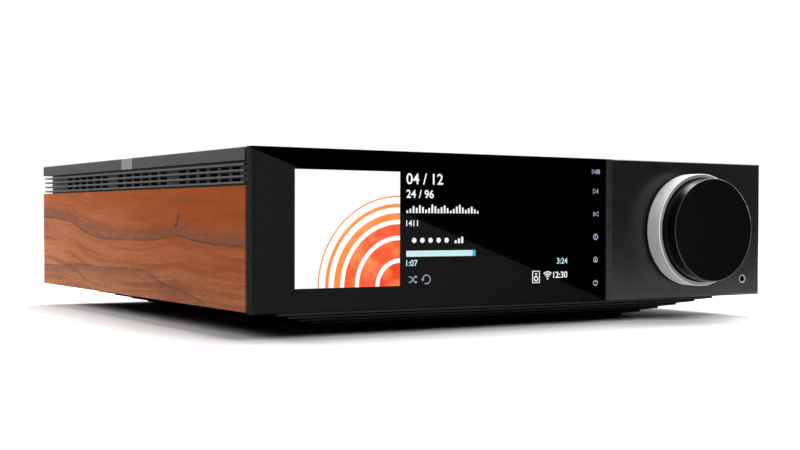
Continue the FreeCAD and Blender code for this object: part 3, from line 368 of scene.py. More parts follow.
def makeWalnut():
    tree, shader = newMaterial("walnutVeneer")
    place = splitAxes(objectPlace(tree))
    along = mapRange(place["Y"], woodHigh.y, woodLow.y)
    up = mapRange(place["Z"], woodLow.z, woodHigh.z)
    depth = times(place["X"], 9.0)

    def sheet(alongScale, upScale, upFrom=up):
        axes = {0: times(along, alongScale), 1: times(upFrom, upScale), 2: depth}
        return addNode(tree, "CombineXYZ", axes).outputs[0]

    wander = times(minus(noise(sheet(1, 0.5), 7.0, 4.0), 0.5), 0.04)
    level = plus(up, wander)

    def gapAbove(points):
        # how far above a drawn line a place is. The curve holds heights from -1 to 1 as 0 to 1
        curve = addNode(tree, "FloatCurve", {"Value": along})
        line = curve.mapping.curves[0]
        for point, (x, y) in zip(line.points, (points[0], points[-1])):
            point.location = (x, y * 0.5 + 0.5)
        for x, y in points[1:-1]:
            line.points.new(x, y * 0.5 + 0.5)
        curve.mapping.update()
        return minus(level, times(minus(curve.outputs[0], 0.5), 2.0))

    gaps = {name: gapAbove(line["points"]) for name, line in walnut["lines"].items()}
    cloud = noise(sheet(1.6, 2.4), 2.2, 5.0, 0.5)
    mottled = mapRange(noise(sheet(7, 9), 4.0, 4.0), 0.35, 0.65, 0.45, 1.0)
    contour = noise(sheet(2.2, 10.0, gaps["upper"]), 1.6, 5.0)
    fineContour = noise(sheet(5.0, 60.0, gaps["upper"]), 1.5, 4.0)
    flowing = sheet(1, 1, level)
    pores, poreHeight = streaks(flowing, walnut["poreScale"], 2.0)
    flecks = streaks(flowing, walnut["fleckScale"], 1.0)[0]
    fibres = streaks(flowing, walnut["fibreScale"], 4.0)[0]

    # paler and rosier to the lower rear, more orange to the top front
    slant = plus(times(along, 0.75), times(up, 0.95))
    rosy = plus(minus(1.35, slant), times(minus(cloud, 0.5), 1.3))
    tone = mixColors(mapRange(rosy, 0.0, 1.0), walnut["orange"], walnut["tan"])

    def stain(color, *masks):
        nonlocal tone
        tone = mixColors(times(*masks), tone, walnut[color])

    stain("brown", mapRange(contour, *walnut["contour"]))
    stain("brown", mapRange(fineContour, *walnut["fineContour"]))
    stain("brown", fibres, walnut["fibres"])
    for kind, color in (("feather", "grey"), ("thin", "line")):
        for name, line in walnut["lines"].items():
            if kind not in line:
                continue
            above, below, strength = line[kind]
            masks = [fade(gaps[name], 0.0, above), mapRange(gaps[name], -below, 0.0, smooth=True)]
            if "span" in line:
                start, full, waning, end = line["span"]
                masks += [mapRange(along, start, full), mapRange(along, waning, end, 1.0, 0.0)]
            stain(color, *masks, mottled, strength)
    # a grey patch under the upper line, at the rear
    patch = walnut["patch"]
    stain("grey", fade(along, *patch["along"]),
          mapRange(gaps["upper"], *patch["bottom"], smooth=True),
          fade(gaps["upper"], *patch["top"]), mottled, patch["strength"])
    stain("pore", mapRange(pores, *walnut["pores"]))
    stain("pore", mapRange(flecks, *walnut["flecks"]))

    # a small upright knot of two leaning dashes, in a grey halo
    knot = walnut["knot"]

    def fromPoint(point, size):
        rise = minus(up, point[1])
        leaning = minus(along, times(rise, knot["lean"]), point[0])
        across, upward = (calc("DIVIDE", gap, reach) for gap, reach in zip((leaning, rise), size))
        return plus(times(across, across), times(upward, upward))

    stain("grey", fade(fromPoint(knot["place"], knot["size"]), 0.0, 1.0, knot["strength"]), mottled)
    for point, size in walnut["dashes"]:
        stain("line", fade(fromPoint(point, size), *walnut["dash"]))
    feed(shader, {"Base Color": tone, "Specular IOR Level": walnut["specular"],
                  "Roughness": mapRange(pores, 0, 1, walnut["roughness"], walnut["roughness"] + 0.1),
                  "Normal": bumpFrom(poreHeight, 0.02, 0.5)})


# Source ring metal: painted shade makes the hollows of the knurl darker than its points
ringMetal = {"point": (1.0, 1.0, 1.0), "hollow": (0.32, 0.32, 0.324), "roughness": 0.42, "metallic": 0.25}
ringShape = {**millimetres(chamfer=0.4, innerChamfer=0.35, web=2.0, recess=28.75, hub=6.0, bore=3.3,
                           length=10.4, knurlDepth=0.32), "knurlCount": 150, "knurlRows": 12}
ringOuter = (ringHigh.x - ringLow.x) / 2


def makeRingMetal():
    tree, shader = newMaterial("ringMetal")
    away, depth = distanceFromAxis(tree, knobAxis), ringShape["knurlDepth"]
    # painted shade: the colour falls from the point tone to the shaded hollow tone within the depth of the
    # knurl
    point = mapRange(away, ringOuter - depth * 0.9, ringOuter - depth * 0.55)
    speckle = noise(objectPlace(tree), 6000.0)
    tone = mixColors(point, ringMetal["hollow"], ringMetal["point"])
    tone = mixColors(times(speckle, 0.15), tone, ringMetal["hollow"])
    feed(shader, {"Base Color": tone, "Roughness": ringMetal["roughness"],
                  "Metallic": ringMetal["metallic"], "Normal": bumpFrom(speckle, 0.006, 0.4)})


for make in (makeShaftSteel, makeBaseBlackAndHighlight, makeGlass, makeWalnut, makeRingMetal):
    make()
makeBackPrint("backPrint", (0.001, 0.001, 0.0011))
makeBackPrint("screenBlack", (0.0012, 0.0012, 0.0015))

# The CAD nodes that each finish is given to
finishNodes = {
    "frontGlass": ["front_glass"], "frameBlack": ["front_frame"], "controlSatin": ["control_panel"],
    "screenBlack": ["lcd_module"], "coverPaint": ["top_cover"], "inlayMetal": ["cover_inlays"],
    "grilleBlack": ["vent_grille_left", "vent_grille_right"], "trayBlack": ["chassis_tray"],
    "walnutVeneer": ["side_panel_left", "side_panel_right"], "baseBlack": ["stepped_base"],
    "footRubber": ["rubber_feet"], "screwBlack": ["case_screws"], "rearBlack": ["rear_panel"],
    "keyBlack": [name for name in nodes if name.endswith("_key")],
    "switchBlack": ["key_switches", "power_rocker"], "shaftSteel": ["volume_shaft"],
    "socketBlack": ["line_bodies", "mains_inlet", "switch_housing"],
    "zincSteel": ["front_carrier", "selector_encoder", "volume_encoder"],
    "brightSteel": ["headphone_socket", "panel_magnets", "hdmi_socket", "usb_socket", "network_socket",
                    "inlet_blades", "board_standoffs"],
    "goldPlate": ["binding_posts", "line_barrels", "antenna_sockets",
                  *(name for name in nodes if name.startswith("terminal_washer"))],
    "boardGreen": ["control_board", "main_board", "amplifier_board", "power_board"],
    "heatSinkBlack": ["amplifier_heat_sink"], "canMetal": ["bulk_capacitors"],
    "windingTape": ["output_inductors", "power_transformer"], "moduleShield": ["streaming_module"],
    "ribbonGrey": ["ribbon_cable"],
}
for finish, names in finishNodes.items():
    for name in names:
        item = nodes[name]
        if not item.material_slots:
            item.data.materials.append(materials[finish])
        for slotItem in item.material_slots:
            slotItem.material = materials[finish]
print("finishes made:", len(materials))


# Mesh helpers
def addItem(name, data):
    item = bpy.data.objects.new(name, data)
    bpy.context.scene.collection.objects.link(item)
    return item


def makeObject(name, mesh, finish, body, smoothAngle=None, keepSides=False):
    # finish is the name of one material, or a list of names
    data = bpy.data.meshes.new(name)
    if not keepSides:
        bmesh.ops.recalc_face_normals(mesh, faces=mesh.faces)
    mesh.to_mesh(data)
    mesh.free()
    for each in finish if isinstance(finish, list) else [finish]:
        data.materials.append(materials[each])
    if smoothAngle:
        data.shade_smooth()
        data.set_sharp_from_angle(angle=radians(smoothAngle))
    item = addItem(name, data)
    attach(item, body)
    return item


def turnedMesh(profile, centre, segments, radiusAt=None, knurled=False, mesh=None):
    # a closed profile of (radius, y) turned about a line along Y through centre (x, z)
    mesh = mesh or bmesh.new()
    rings = []
    for row, (radius, y) in enumerate(profile):
        ring = []
        for index in range(segments):
            angle = 2 * pi * index / segments
            r = radiusAt(row, index, radius) if radiusAt else radius
            ring.append(mesh.verts.new((centre[0] + r * cos(angle), y, centre[1] + r * sin(angle))))
        rings.append(ring)
    for row, first in enumerate(rings):
        second = rings[(row + 1) % len(rings)]
        for index in range(segments):
            after = (index + 1) % segments
            a, b, c, d = first[index], first[after], second[after], second[index]
            if not knurled:
                mesh.faces.new((a, b, c, d))
            elif (row + index) % 2:
                # quads split along the hollows, so that the points of the knurl stand up
                mesh.faces.new((a, b, c))
                mesh.faces.new((a, c, d))
            else:
                mesh.faces.new((a, b, d))
                mesh.faces.new((b, c, d))
    return mesh


def paintRings(item, centre, choose):
    # gives each face the material index that choose(radius, y) returns
    for face in item.data.polygons:
        radius = ((face.center.x - centre[0]) ** 2 + (face.center.z - centre[1]) ** 2) ** 0.5
        face.material_index = choose(radius, face.center.y)


# Source ring
def makeRing():
    shape = ringShape
    outer, chamfer = ringOuter, shape["chamfer"]
    recess, hub, bore = shape["recess"], shape["hub"], shape["bore"]
    front = ringLow.y
    back = front + shape["length"]
    floor = back - shape["web"]
    start, end = front + chamfer, back - chamfer
    rows = shape["knurlRows"]
    profile = [(bore, floor), (recess, floor), (recess, front + shape["innerChamfer"]),
               (recess + shape["innerChamfer"], front), (outer - chamfer, front),
               (outer - chamfer * 0.35, front + chamfer * 0.65)]
    firstKnurl = len(profile)
    profile += [(outer, start + (end - start) * row / rows) for row in range(rows + 1)]
    profile += [(outer - chamfer, back), (hub, back), (hub, ringHigh.y), (bore, ringHigh.y)]

    def radiusAt(row, index, radius):
        low = firstKnurl <= row <= firstKnurl + rows and (row + index) % 2
        return radius - shape["knurlDepth"] if low else radius

    mesh = turnedMesh(profile, knobAxis, shape["knurlCount"] * 2, radiusAt, knurled=True)
    ring = makeObject("source_ring", mesh, ["ringMetal", "ringFace", "ringEdge"], "selector")

    def choose(radius, y):
        if y > front + chamfer * 0.98:
            return 0
        # the outer front chamfer takes the painted highlight, the face inside it the plain face metal
        return 2 if radius > outer - chamfer * 0.9 else 1

    paintRings(ring, knobAxis, choose)
    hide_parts("selector_ring")


makeRing()
print("source ring made")


# Volume knob
knobShape = {**millimetres(chamfer=0.4, wall=3.0, face=4.0, boss=7.0, socket=3.0, faceRecess=0.05,
                           coreRadius=0.02, coreDepth=3.5), "segments": 256}


def makeKnob():
    shape = knobShape
    socket, boss, chamfer = shape["socket"], shape["boss"], shape["chamfer"]
    outer = (knobHigh.x - knobLow.x) / 2
    inner = outer - shape["wall"]
    front, back = knobLow.y, knobHigh.y
    faceBack = front + shape["face"]
    dish = front + shape["faceRecess"]
    profile = [(socket, faceBack), (socket, back), (boss, back), (boss, faceBack), (inner, faceBack),
               (inner, back), (outer - chamfer, back), (outer, back - chamfer), (outer, front + chamfer),
               (outer - chamfer * 0.35, front + chamfer * 0.35), (outer - chamfer, front),
               (outer - chamfer * 2, front), (outer - chamfer * 2.6, dish),
               (shape["coreRadius"], dish), (shape["coreRadius"], front + shape["coreDepth"])]
    mesh = turnedMesh(profile, knobAxis, shape["segments"])
    blacks = ["knobBlack", "knobEdge", "knobFace"]
    knob = makeObject("volume_dial", mesh, blacks, "volume", 25)

    def choose(radius, y):
        if y > front + chamfer:
            return 0
        return 1 if radius > outer - chamfer * 1.1 and y > front + 0.01 * mm else 2

    paintRings(knob, knobAxis, choose)
    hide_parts("volume_knob")


makeKnob()
print("volume knob made")


# Display, printed and lit just inside the back of the glass, in millimetres
display = {
    "printDepth": 0.03, "imageLift": 0.015, "printInset": 0.3, "windowEdge": 2.0, "edgeCoat": 0.02,
    "artLeft": -136.9, "artRight": -81.9, "artBottom": 24.05, "artTop": 79.15,
    "textLeft": -78.4, "textRight": 18.8,
    # numbers at the left or right end of the text, with their bottom, height and boldness
    "whiteNumbers": [("04 / 12", "left", 73.4, 5.2, 0.012), ("24 / 96", "left", 66.7, 3.9, 0.012),
                     ("1411", "left", 53.0, 2.8, 0.014), ("12:30", "right", 26.0, 3.2, 0.014)],
    "cyanNumbers": [("1:07", "left", 33.6, 2.9, 0.014), ("3:24", "right", 33.4, 2.9, 0.014)],
    "bars": {"bottom": 59.3, "pitch": 1.76, "width": 0.95, "step": 0.42,
             "levels": [3, 5, 8, 6, 9, 7, 4, 6, 10, 8, 5, 7, 9, 6, 3, 5, 8, 10, 7, 4, 6, 8, 5, 3]},
    "dots": {"count": 5, "first": 4.4, "pitch": 4.6, "height": 46.0, "radius": 1.25},
    "progress": {"low": 38.1, "high": 41.0, "head": -40.4, "headEnd": -38.6, "end": 18.1},
    "keyIconX": 37.6, "keyIconHeights": [82.06, 71.6, 59.5, 47.25, 35.2, 22.65], "iconLine": 0.42,
}
printY = glassHigh.y - display["printDepth"] * mm
imageY = printY - display["imageLift"] * mm

# Colour and strength of what is lit
screenLights = {
    "screenWhite": ((0.93, 0.94, 0.96), 1.15), "screenCyan": ((0.55, 0.95, 1.0), 1.0),
    "screenPale": ((0.63, 0.9, 0.97), 1.0), "screenDeep": ((0.0, 0.5, 0.72), 1.0),
    "screenDim": ((0.0, 0.0, 0.03), 0.02), "screenGrey": ((0.46, 0.52, 0.68), 0.9),
    "signLilac": ((0.66, 0.52, 0.84), 1.0),
}
for name, (color, strength) in screenLights.items():
    glowing(name, color, strength)


def arcPoints(x, z, radius, start, end, steps):
    angles = [radians(start + (end - start) * i / steps) for i in range(steps + 1)]
    return [(x + radius * cos(a), z + radius * sin(a)) for a in angles]


class FlatDrawing:
    # filled flat shapes on an upright plane that faces the front, or the rear where facing is 1
    def __init__(self, y, facing=-1, unit=1.0):
        self.mesh = bmesh.new()
        self.y = y
        self.facing = facing
        self.unit = unit

    def shape(self, points):
        corners = [self.mesh.verts.new((x * self.unit, self.y, z * self.unit)) for x, z in points]
        face = self.mesh.faces.new(corners)
        face.normal_update()
        if face.normal.y * self.facing < 0:
            face.normal_flip()

    def strip(self, points, width, closed=False):
        # a line of even width along the points
        count = len(points)
        sides = []
        for index, (x, z) in enumerate(points):
            before = points[(index - 1) % count] if closed or index else points[0]
            after = points[(index + 1) % count] if closed or index < count - 1 else points[-1]
            dx, dz = after[0] - before[0], after[1] - before[1]
            size = (dx * dx + dz * dz) ** 0.5
            nx, nz = -dz / size * width / 2, dx / size * width / 2
            sides.append(((x + nx, z + nz), (x - nx, z - nz)))
        for (a, b), (c, d) in sidesOf(sides) if closed else zip(sides, sides[1:]):
            self.shape([a, b, d, c])

    def arc(self, x, z, radius, width, start, end, steps=24):
        self.strip(arcPoints(x, z, radius, start, end, steps), width)

    def disc(self, x, z, radius, steps=24):
        self.shape(arcPoints(x, z, radius, 0, 360, steps)[:-1])

    def bar(self, *ends):
        self.shape(rectangle(*ends))

    def digits(self, text, side, z, height, bold):
        # numbers in the built-in font, scaled by the height of a digit
        curve = bpy.data.curves.new("digits", "FONT")
        curve.body = text
        curve.offset = bold
        holder = addItem("digits", curve)
        bpy.context.view_layer.update()
        flat = bpy.data.meshes.new_from_object(holder.evaluated_get(bpy.context.evaluated_depsgraph_get()))
        bpy.data.objects.remove(holder)
        places = [vertex.co for vertex in flat.vertices]
        scale = height / max(place.y for place in places)
        xs = [place.x for place in places]
        shift = display["textLeft"] - min(xs) * scale
        if side == "right":
            shift = display["textRight"] - max(xs) * scale
        for face in flat.polygons:
            self.shape([(shift + places[i].x * scale, z + places[i].y * scale) for i in face.vertices])
        bpy.data.meshes.remove(flat)

    def place(self, name, finish, slot="display", body="case"):
        makeObject(name, self.mesh, finish, body, keepSides=True)


def makeCoverArt():
    # a white square with orange quarter rings
    tree, shader = newMaterial("coverArt")
    side = (display["artRight"] - display["artLeft"]) * mm
    corner = (display["artRight"] * mm, display["artBottom"] * mm)
    reach = calc("DIVIDE", distanceFromAxis(tree, corner), side)
    ramp = addNode(tree, "ValToRGB", {"Fac": reach})
    ramp.color_ramp.interpolation = "CONSTANT"
    white, orange = (0.975, 0.98, 0.99), (0.99, 0.105, 0.035)
    deep, amber = (0.9, 0.06, 0.018), (1.0, 0.26, 0.06)
    stops = [(0.0, deep), (0.2, white), (0.24, orange), (0.4, white), (0.44, orange), (0.54, white),
             (0.58, amber), (0.64, white), (0.69, amber), (0.72, white), (0.78, amber), (0.79, white)]
    elements = ramp.color_ramp.elements
    for element, (position, color) in zip(elements, stops):
        element.position, element.color = position, (*color, 1)
    for position, color in stops[2:]:
        elements.new(position).color = (*color, 1)
    # warmer clouds in the orange parts, which have little green
    clouds = mapRange(noise(objectPlace(tree), 120.0, 5.0), 0.45, 0.7, 0.0, 0.5)
    green = addNode(tree, "SeparateColor", {0: ramp.outputs[0]}).outputs[1]
    painted = mapRange(green, 0.3, 0.9, 1.0, 0.0)
    warmed = mixColors(times(clouds, painted), ramp.outputs[0], (1.0, 0.45, 0.14))
    lightUp(shader, warmed, 1.1)


def glassCorners(inset):
    # moved inwards from the edges of the glass
    return rectangle(glassLow.x + inset, glassLow.z + inset, glassHigh.x - inset, glassHigh.z - inset)


def makeEdgePaint():
    # black paint round the edge of the glass
    front, back = glassLow.y, glassHigh.y
    mesh = bmesh.new()
    for (x0, z0), (x1, z1) in sidesOf(glassCorners(-display["edgeCoat"] * mm)):
        wall = [(x0, front, z0), (x1, front, z1), (x1, back, z1), (x0, back, z0)]
        mesh.faces.new([mesh.verts.new(point) for point in wall])
    makeObject("glass_edge_paint", mesh, "frameBlack", "case")


def makePanes():
    low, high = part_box("lcd_module")
    edge = display["windowEdge"] * mm
    window = rectangle(low.x + edge, low.z + edge, high.x - edge, high.z - edge)
    border = glassCorners(display["printInset"] * mm)
    backPrint = FlatDrawing(printY)
    for (a, b), (c, d) in zip(sidesOf(border), sidesOf(window)):
        backPrint.shape([a, b, d, c])
    backPrint.place("glass_back_print", "backPrint", "black_glass")
    pane = FlatDrawing(printY)
    pane.shape(window)
    pane.place("screen_pane", "screenBlack")
    art = FlatDrawing(imageY, unit=mm)
    art.bar(display["artLeft"], display["artBottom"], display["artRight"], display["artTop"])
    art.place("cover_picture", "coverArt")


def makeScreenMarks():
    left = display["textLeft"]
    marks = FlatDrawing(imageY, unit=mm)
    for number in display["whiteNumbers"]:
        marks.digits(*number)
    bars, dots = display["bars"], display["dots"]
    for index, level in enumerate(bars["levels"]):
        x = left + index * bars["pitch"]
        marks.bar(x, bars["bottom"], x + bars["width"], bars["bottom"] + level * bars["step"])
    for index in range(dots["count"]):
        marks.disc(left + dots["first"] + index * dots["pitch"], dots["height"], dots["radius"])
    # three bars that rise
    for index in range(3):
        x = left + 27.5 + index * 1.9
        marks.bar(x, 44.5, x + 1.15, 45.9 + 0.9 * index)
    # wireless sign
    x, z = 6.0, 25.5
    for radius in (1.5, 2.6, 3.7):
        marks.arc(x, z, radius, 0.55, 48, 132, 12)
    marks.disc(x, z + 0.1, 0.5)
    # loudspeaker
    x, z = -1.35, 26.65
    half, tall = 2.15, 2.95
    marks.strip(rectangle(x - half, z - tall, x + half, z + tall), 0.6, closed=True)
    marks.arc(x, z - 0.85, 1.1, 0.6, 0, 360)
    marks.disc(x, z + 1.55, 0.55)
    marks.place("screen_marks", "screenWhite")

    playTimes = FlatDrawing(imageY, unit=mm)
    for number in display["cyanNumbers"]:
        playTimes.digits(*number)
    playTimes.place("screen_times", "screenCyan")


def makeProgressBar():
    progress = display["progress"]
    head, end = progress["head"], progress["headEnd"]
    for name, x0, x1, finish in (("progress_played", display["textLeft"], head, "screenPale"),
                                 ("progress_head", head, end, "screenDeep"),
                                 ("progress_rest", end, progress["end"], "screenDim")):
        bar = FlatDrawing(imageY, unit=mm)
        bar.bar(x0, progress["low"], x1, progress["high"])
        bar.place(name, finish)


def makePlayModeSigns():
    signs = FlatDrawing(imageY, unit=mm)
    line = display["iconLine"]
    # two crossing arrows
    x, z = -74.7, 27.0
    for rise in (-1.3, 1.3):
        signs.strip([(x - 2.3, z + rise), (x - 1.0, z + rise), (x + 0.9, z - rise), (x + 1.9, z - rise)],
                    line)
        signs.shape([(x + 1.5, z + rise - 0.75), (x + 2.5, z + rise), (x + 1.5, z + rise + 0.75)])
    # an open ring with an arrow head
    x, z = -67.0, 26.9
    signs.arc(x, z, 2.1, line, -120, 175)
    signs.shape([(x - 2.9, z + 0.3), (x - 1.3, z + 0.3), (x - 2.1, z - 1.0)])
    signs.place("play_mode_signs", "screenGrey")


def makeKeySigns():
    signs = FlatDrawing(imageY, unit=mm)
    x, line = display["keyIconX"], display["iconLine"]
    play, skip, back, info, home, power = display["keyIconHeights"]
    r = 1.2

    def triangle(cx, cz, size, turn):
        reach, half = turn * size, size * 1.05
        signs.strip([(cx - reach, cz - half), (cx + reach, cz), (cx - reach, cz + half)], line, closed=True)

    def uprights(cx, cz, count):
        for index in range(count):
            start = cx + index * 0.95
            signs.bar(start, cz - r, start + line * 1.2, cz + r)

    def middleBar(low, high):
        signs.bar(x - line / 2, low, x + line / 2, high)

    triangle(x - 1.5, play, r * 0.9, 1)
    signs.strip([(x - 0.2, play - r), (x + 0.6, play + r)], line)
    uprights(x + 1.0, play, 2)
    triangle(x - 0.6, skip, r, 1)
    uprights(x + 0.9, skip, 1)
    triangle(x + 0.5, back, r, -1)
    uprights(x - 1.5, back, 1)
    signs.arc(x, info, r * 1.15, line, 0, 360)
    middleBar(info - r * 0.6, info + r * 0.15)
    middleBar(info + r * 0.4, info + r * 0.7)
    house = [(-1, -1), (1, -1), (1, 0.25), (0, 1.15), (-1, 0.25)]
    signs.strip([(x + a * r, home + b * r) for a, b in house], line, closed=True)
    signs.bar(x - r * 0.3, home - r, x + r * 0.3, home - r * 0.1)
    signs.arc(x, power, r * 1.1, line, 120, 420)
    middleBar(power + r * 0.35, power + r * 1.25)
    signs.place("key_signs", "signLilac", "black_glass")


makeCoverArt()
makeEdgePaint()
makePanes()
makeScreenMarks()
makeProgressBar()
makePlayModeSigns()
makeKeySigns()
print("display made")


# Headphone socket: a turned silver rim and a dark lining in the bore
jack = millimetres(boreRadius=1.66, rimRadius=2.6, boreDepth=14.5, rimDepth=0.35, proud=0.03, bevel=0.25,
                   boreBevel=0.3, rimBevel=0.15, liningWall=0.04, endWall=0.05, overlap=0.02)


def makeJack():
    low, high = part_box("headphone_socket")
    centre = middleOf(low, high)
    bore, rim, bevel, overlap = jack["boreRadius"], jack["rimRadius"], jack["bevel"], jack["overlap"]
    front = low.y - jack["proud"]
    rimEnd = front + jack["rimDepth"]
    turned = [(bore, rimEnd), (bore, front + jack["boreBevel"]), (bore + bevel, front),
              (rim - bevel, front), (rim, front + jack["rimBevel"]), (rim, rimEnd)]
    start, end = rimEnd - overlap, front + jack["boreDepth"]
    inner, endWall = bore - jack["liningWall"], end + jack["endWall"]
    lining = [(bore, start), (inner, start), (inner, end), (overlap, end), (overlap, endWall),
              (bore, endWall)]
    for name, profile, finish in (("jack_rim", turned, "ringFace"), ("jack_lining", lining, "boreBlack")):
        makeObject(name, turnedMesh(profile, centre, 64), finish, "case", 30)


makeJack()
print("headphone socket made")


# Speaker caps, fluted round the outside, with a gold lip in the mouth
capShape = {**millimetres(thread=3.8, mouth=2.55, mouthBevel=0.5, goldLip=0.3, endWall=3.0, chamfer=0.6,
                          fluteDepth=0.5), "flutes": 18, "segments": 144}
capNames = [name for name in nodes if name.startswith("terminal_cap_")]


def makeCaps():
    shape = capShape
    chamfer, thread, mouth, bevel = shape["chamfer"], shape["thread"], shape["mouth"], shape["mouthBevel"]
    goldEdge = thread + shape["goldLip"]
    for name in capNames:
        low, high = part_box(name)
        centre = middleOf(low, high)
        radius = (high.x - low.x) / 2
        back, front = low.y, high.y
        wallTop = front - shape["endWall"]
        profile = [(thread, back), (thread, wallTop), (mouth, wallTop), (mouth, front - bevel),
                   (mouth + bevel, front), (goldEdge + 0.1 * mm, front), (radius - chamfer * 1.6, front),
                   (radius - chamfer * 0.4, front - chamfer), (radius, front - chamfer * 2.2),
                   (radius, back + chamfer * 2.2), (radius - chamfer * 0.4, back + chamfer),
                   (radius - chamfer, back)]

        def radiusAt(row, index, r):
            if not 7 <= row <= 10:
                return r
            turn = 2 * pi * index * shape["flutes"] / shape["segments"]
            return r - shape["fluteDepth"] * (0.5 - 0.5 * cos(turn))

        finish, slot = ("capRed", "cap_red") if "positive" in name else ("capBlack", "cap_black")
        mesh = turnedMesh(profile, centre, shape["segments"], radiusAt)
        body = name.replace("terminal_", "")
        cap = makeObject("fluted_" + name, mesh, [finish, "goldPlate"], body, 35)
        paintRings(cap, centre, lambda r, y: int(r < goldEdge))
        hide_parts(name)


makeCaps()
print("speaker caps made")


# Line sockets: turned gold barrels with white inserts above red ones
lineShape = {**millimetres(radius=4.15, wall=0.7, innerBevel=0.2, bevel=0.25, firstGroove=2.2,
                           groovePitch=1.5, grooveDepth=0.15, grooveFloor=0.2, grooveMouth=0.35,
                           bore=1.6, insert=0.3, insertFrom=0.38, gap=0.02), "grooves": 4, "columns": 3}


def makeLineSockets():
    low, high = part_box("line_barrels")
    shape = lineShape
    radius, bevel, bore = shape["radius"], shape["bevel"], shape["bore"]
    inner = radius - shape["wall"]
    groove = radius - shape["grooveDepth"]
    start, end = low.y, high.y
    barrels, whites, reds = bmesh.new(), bmesh.new(), bmesh.new()
    profile = [(inner, start), (inner, end - shape["innerBevel"]), (inner + shape["innerBevel"], end),
               (radius - bevel, end), (radius, end - bevel)]
    half, mouth = shape["grooveFloor"], shape["grooveMouth"]
    for index in range(shape["grooves"]):
        y = end - shape["firstGroove"] - index * shape["groovePitch"]
        profile += [(radius, y + mouth), (groove, y + half), (groove, y - half), (radius, y - mouth)]
    profile += [(radius, start)]
    outer, front = inner - shape["gap"], end - shape["insertFrom"]
    back = front + shape["insert"] - shape["gap"]
    insert = [(bore, front), (bore, back), (outer, back), (outer, front)]
    for column in range(shape["columns"]):
        x = low.x + radius + (high.x - low.x - 2 * radius) * column / (shape["columns"] - 1)
        for z, inserts in ((low.z + radius, reds), (high.z - radius, whites)):
            turnedMesh(profile, (x, z), 64, mesh=barrels)
            turnedMesh(insert, (x, z), 64, mesh=inserts)
    barrel = makeObject("turned_barrels", barrels, "goldPlate", "case", 30)
    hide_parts("line_barrels")
    makeObject("white_inserts", whites, "insertWhite", "case", 30)
    makeObject("red_inserts", reds, "insertRed", "case", 30)


makeLineSockets()
print("line sockets made")


# Marks on the rear: plus and minus at the speaker caps, on and off on the rocker, and painted shade as flat
# black discs in the recess of each screw
rearMark = millimetres(lift=0.02, arm=1.5, line=0.6, aboveCap=4.5, rockerSign=1.9, screwX=111.4,
                       screwRadius=2.8, recessRadius=1.35)


def makeTerminalMarks():
    arm, half = rearMark["arm"], rearMark["line"] / 2
    marks = FlatDrawing(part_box("rear_panel")[1].y + rearMark["lift"], 1)
    for name in capNames:
        low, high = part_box(name)
        x, z = middleOf(low, high)[0], high.z + rearMark["aboveCap"]
        marks.bar(x - arm, z - half, x + arm, z + half)
        if "positive" in name:
            marks.bar(x - half, z + half, x + half, z + arm)
            marks.bar(x - half, z - arm, x + half, z - half)
    marks.place("terminal_marks", "printWhite", "rear_black")


def makeRockerMarks():
    # a line on the upper half and a ring on the lower half, each laid on its half's face
    faces = sorted(nodes["power_rocker"].data.polygons, key=lambda face: -face.area)
    upper = next(face for face in faces if face.normal.y > 0.99)
    lower = next(face for face in faces if 0.9 < face.normal.y < 0.99)
    low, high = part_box("power_rocker")
    x, middle = middleOf(low, high)
    size, half = rearMark["rockerSign"], rearMark["line"] / 2
    reach = (high.z - low.z) / 4
    marks = FlatDrawing(0.0, 1)
    marks.bar(x - half, middle + reach - size, x + half, middle + reach + size)
    marks.arc(x, middle - reach, size - half, half * 2, 0, 360, 32)
    for vertex in marks.mesh.verts:
        face = upper if vertex.co.z > middle else lower
        slope = face.normal.z / face.normal.y
        vertex.co.y = face.center.y - (vertex.co.z - face.center.z) * slope + rearMark["lift"]
    marks.place("rocker_marks", "printWhite", "rocker_plastic", "rocker")


def makeScrewRecessShade():
    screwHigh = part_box("case_screws")[1]
    recessShade = FlatDrawing(screwHigh.y + rearMark["lift"], 1)
    for x in (-rearMark["screwX"], 0.0, rearMark["screwX"]):
        # painted shade: a flat black disc stands in for the dark of each screw's recess
        recessShade.disc(x, screwHigh.z - rearMark["screwRadius"], rearMark["recessRadius"], 6)
    recessShade.place("screw_recesses", "boreBlack", "steel")


makeTerminalMarks()
makeRockerMarks()
makeScrewRecessShade()
print("rear marks made")


# Floor, reflection board, lamps and world
stageLight = {
    "floorColor": (0.93, 0.93, 0.93), "floorReach": 6.0, "glowFrom": 0.42, "glowTo": 0.9,
    "worldDiffuse": 0.03,
    # the ends are left, bottom, right and top. The edge of the paler part runs between two points
    "board": {"gap": 0.15, "ends": (-0.2, 0.0002, 0.6, 0.4), "glow": (0.3, 0.12),
              "edge": ((-0.0916, 0.0959), (0.163, 0.0017))},
    "lamps": {
        "overhead": dict(place=(0.5, 0.46, 1.5), aim=(0.0, 0.0, 0.0), size=(1.8, 1.8), power=51.0),
        "leftSoft": dict(place=(-0.78, 0.6, 0.52), aim=(-0.15, 0.1, 0.05), size=(0.5, 0.4), power=6.8),
        "rightSoft": dict(place=(1.15, 0.2, 0.38), aim=(0.15, 0.0, 0.0), size=(0.6, 0.5), power=8.0),
        "frontSoft": dict(place=(0.0, -1.1, 0.66), aim=(0.08, -0.15, 0.06), size=(0.6, 0.5), power=10.2),
    },
}


def whiteToEye(tree):
    # 1 for rays from the camera, from shiny surfaces and through glass
    rays = addNode(tree, "LightPath").outputs
    return calc("MAXIMUM", rays["Is Camera Ray"], rays["Is Glossy Ray"], rays["Is Transmission Ray"])


def stagePlane(name, corners, finish):
    mesh = bpy.data.meshes.new(name)
    mesh.from_pydata(corners, [], [(0, 1, 2, 3)])
    mesh.materials.append(materials[finish])
    item = addItem(name, mesh)
    return item


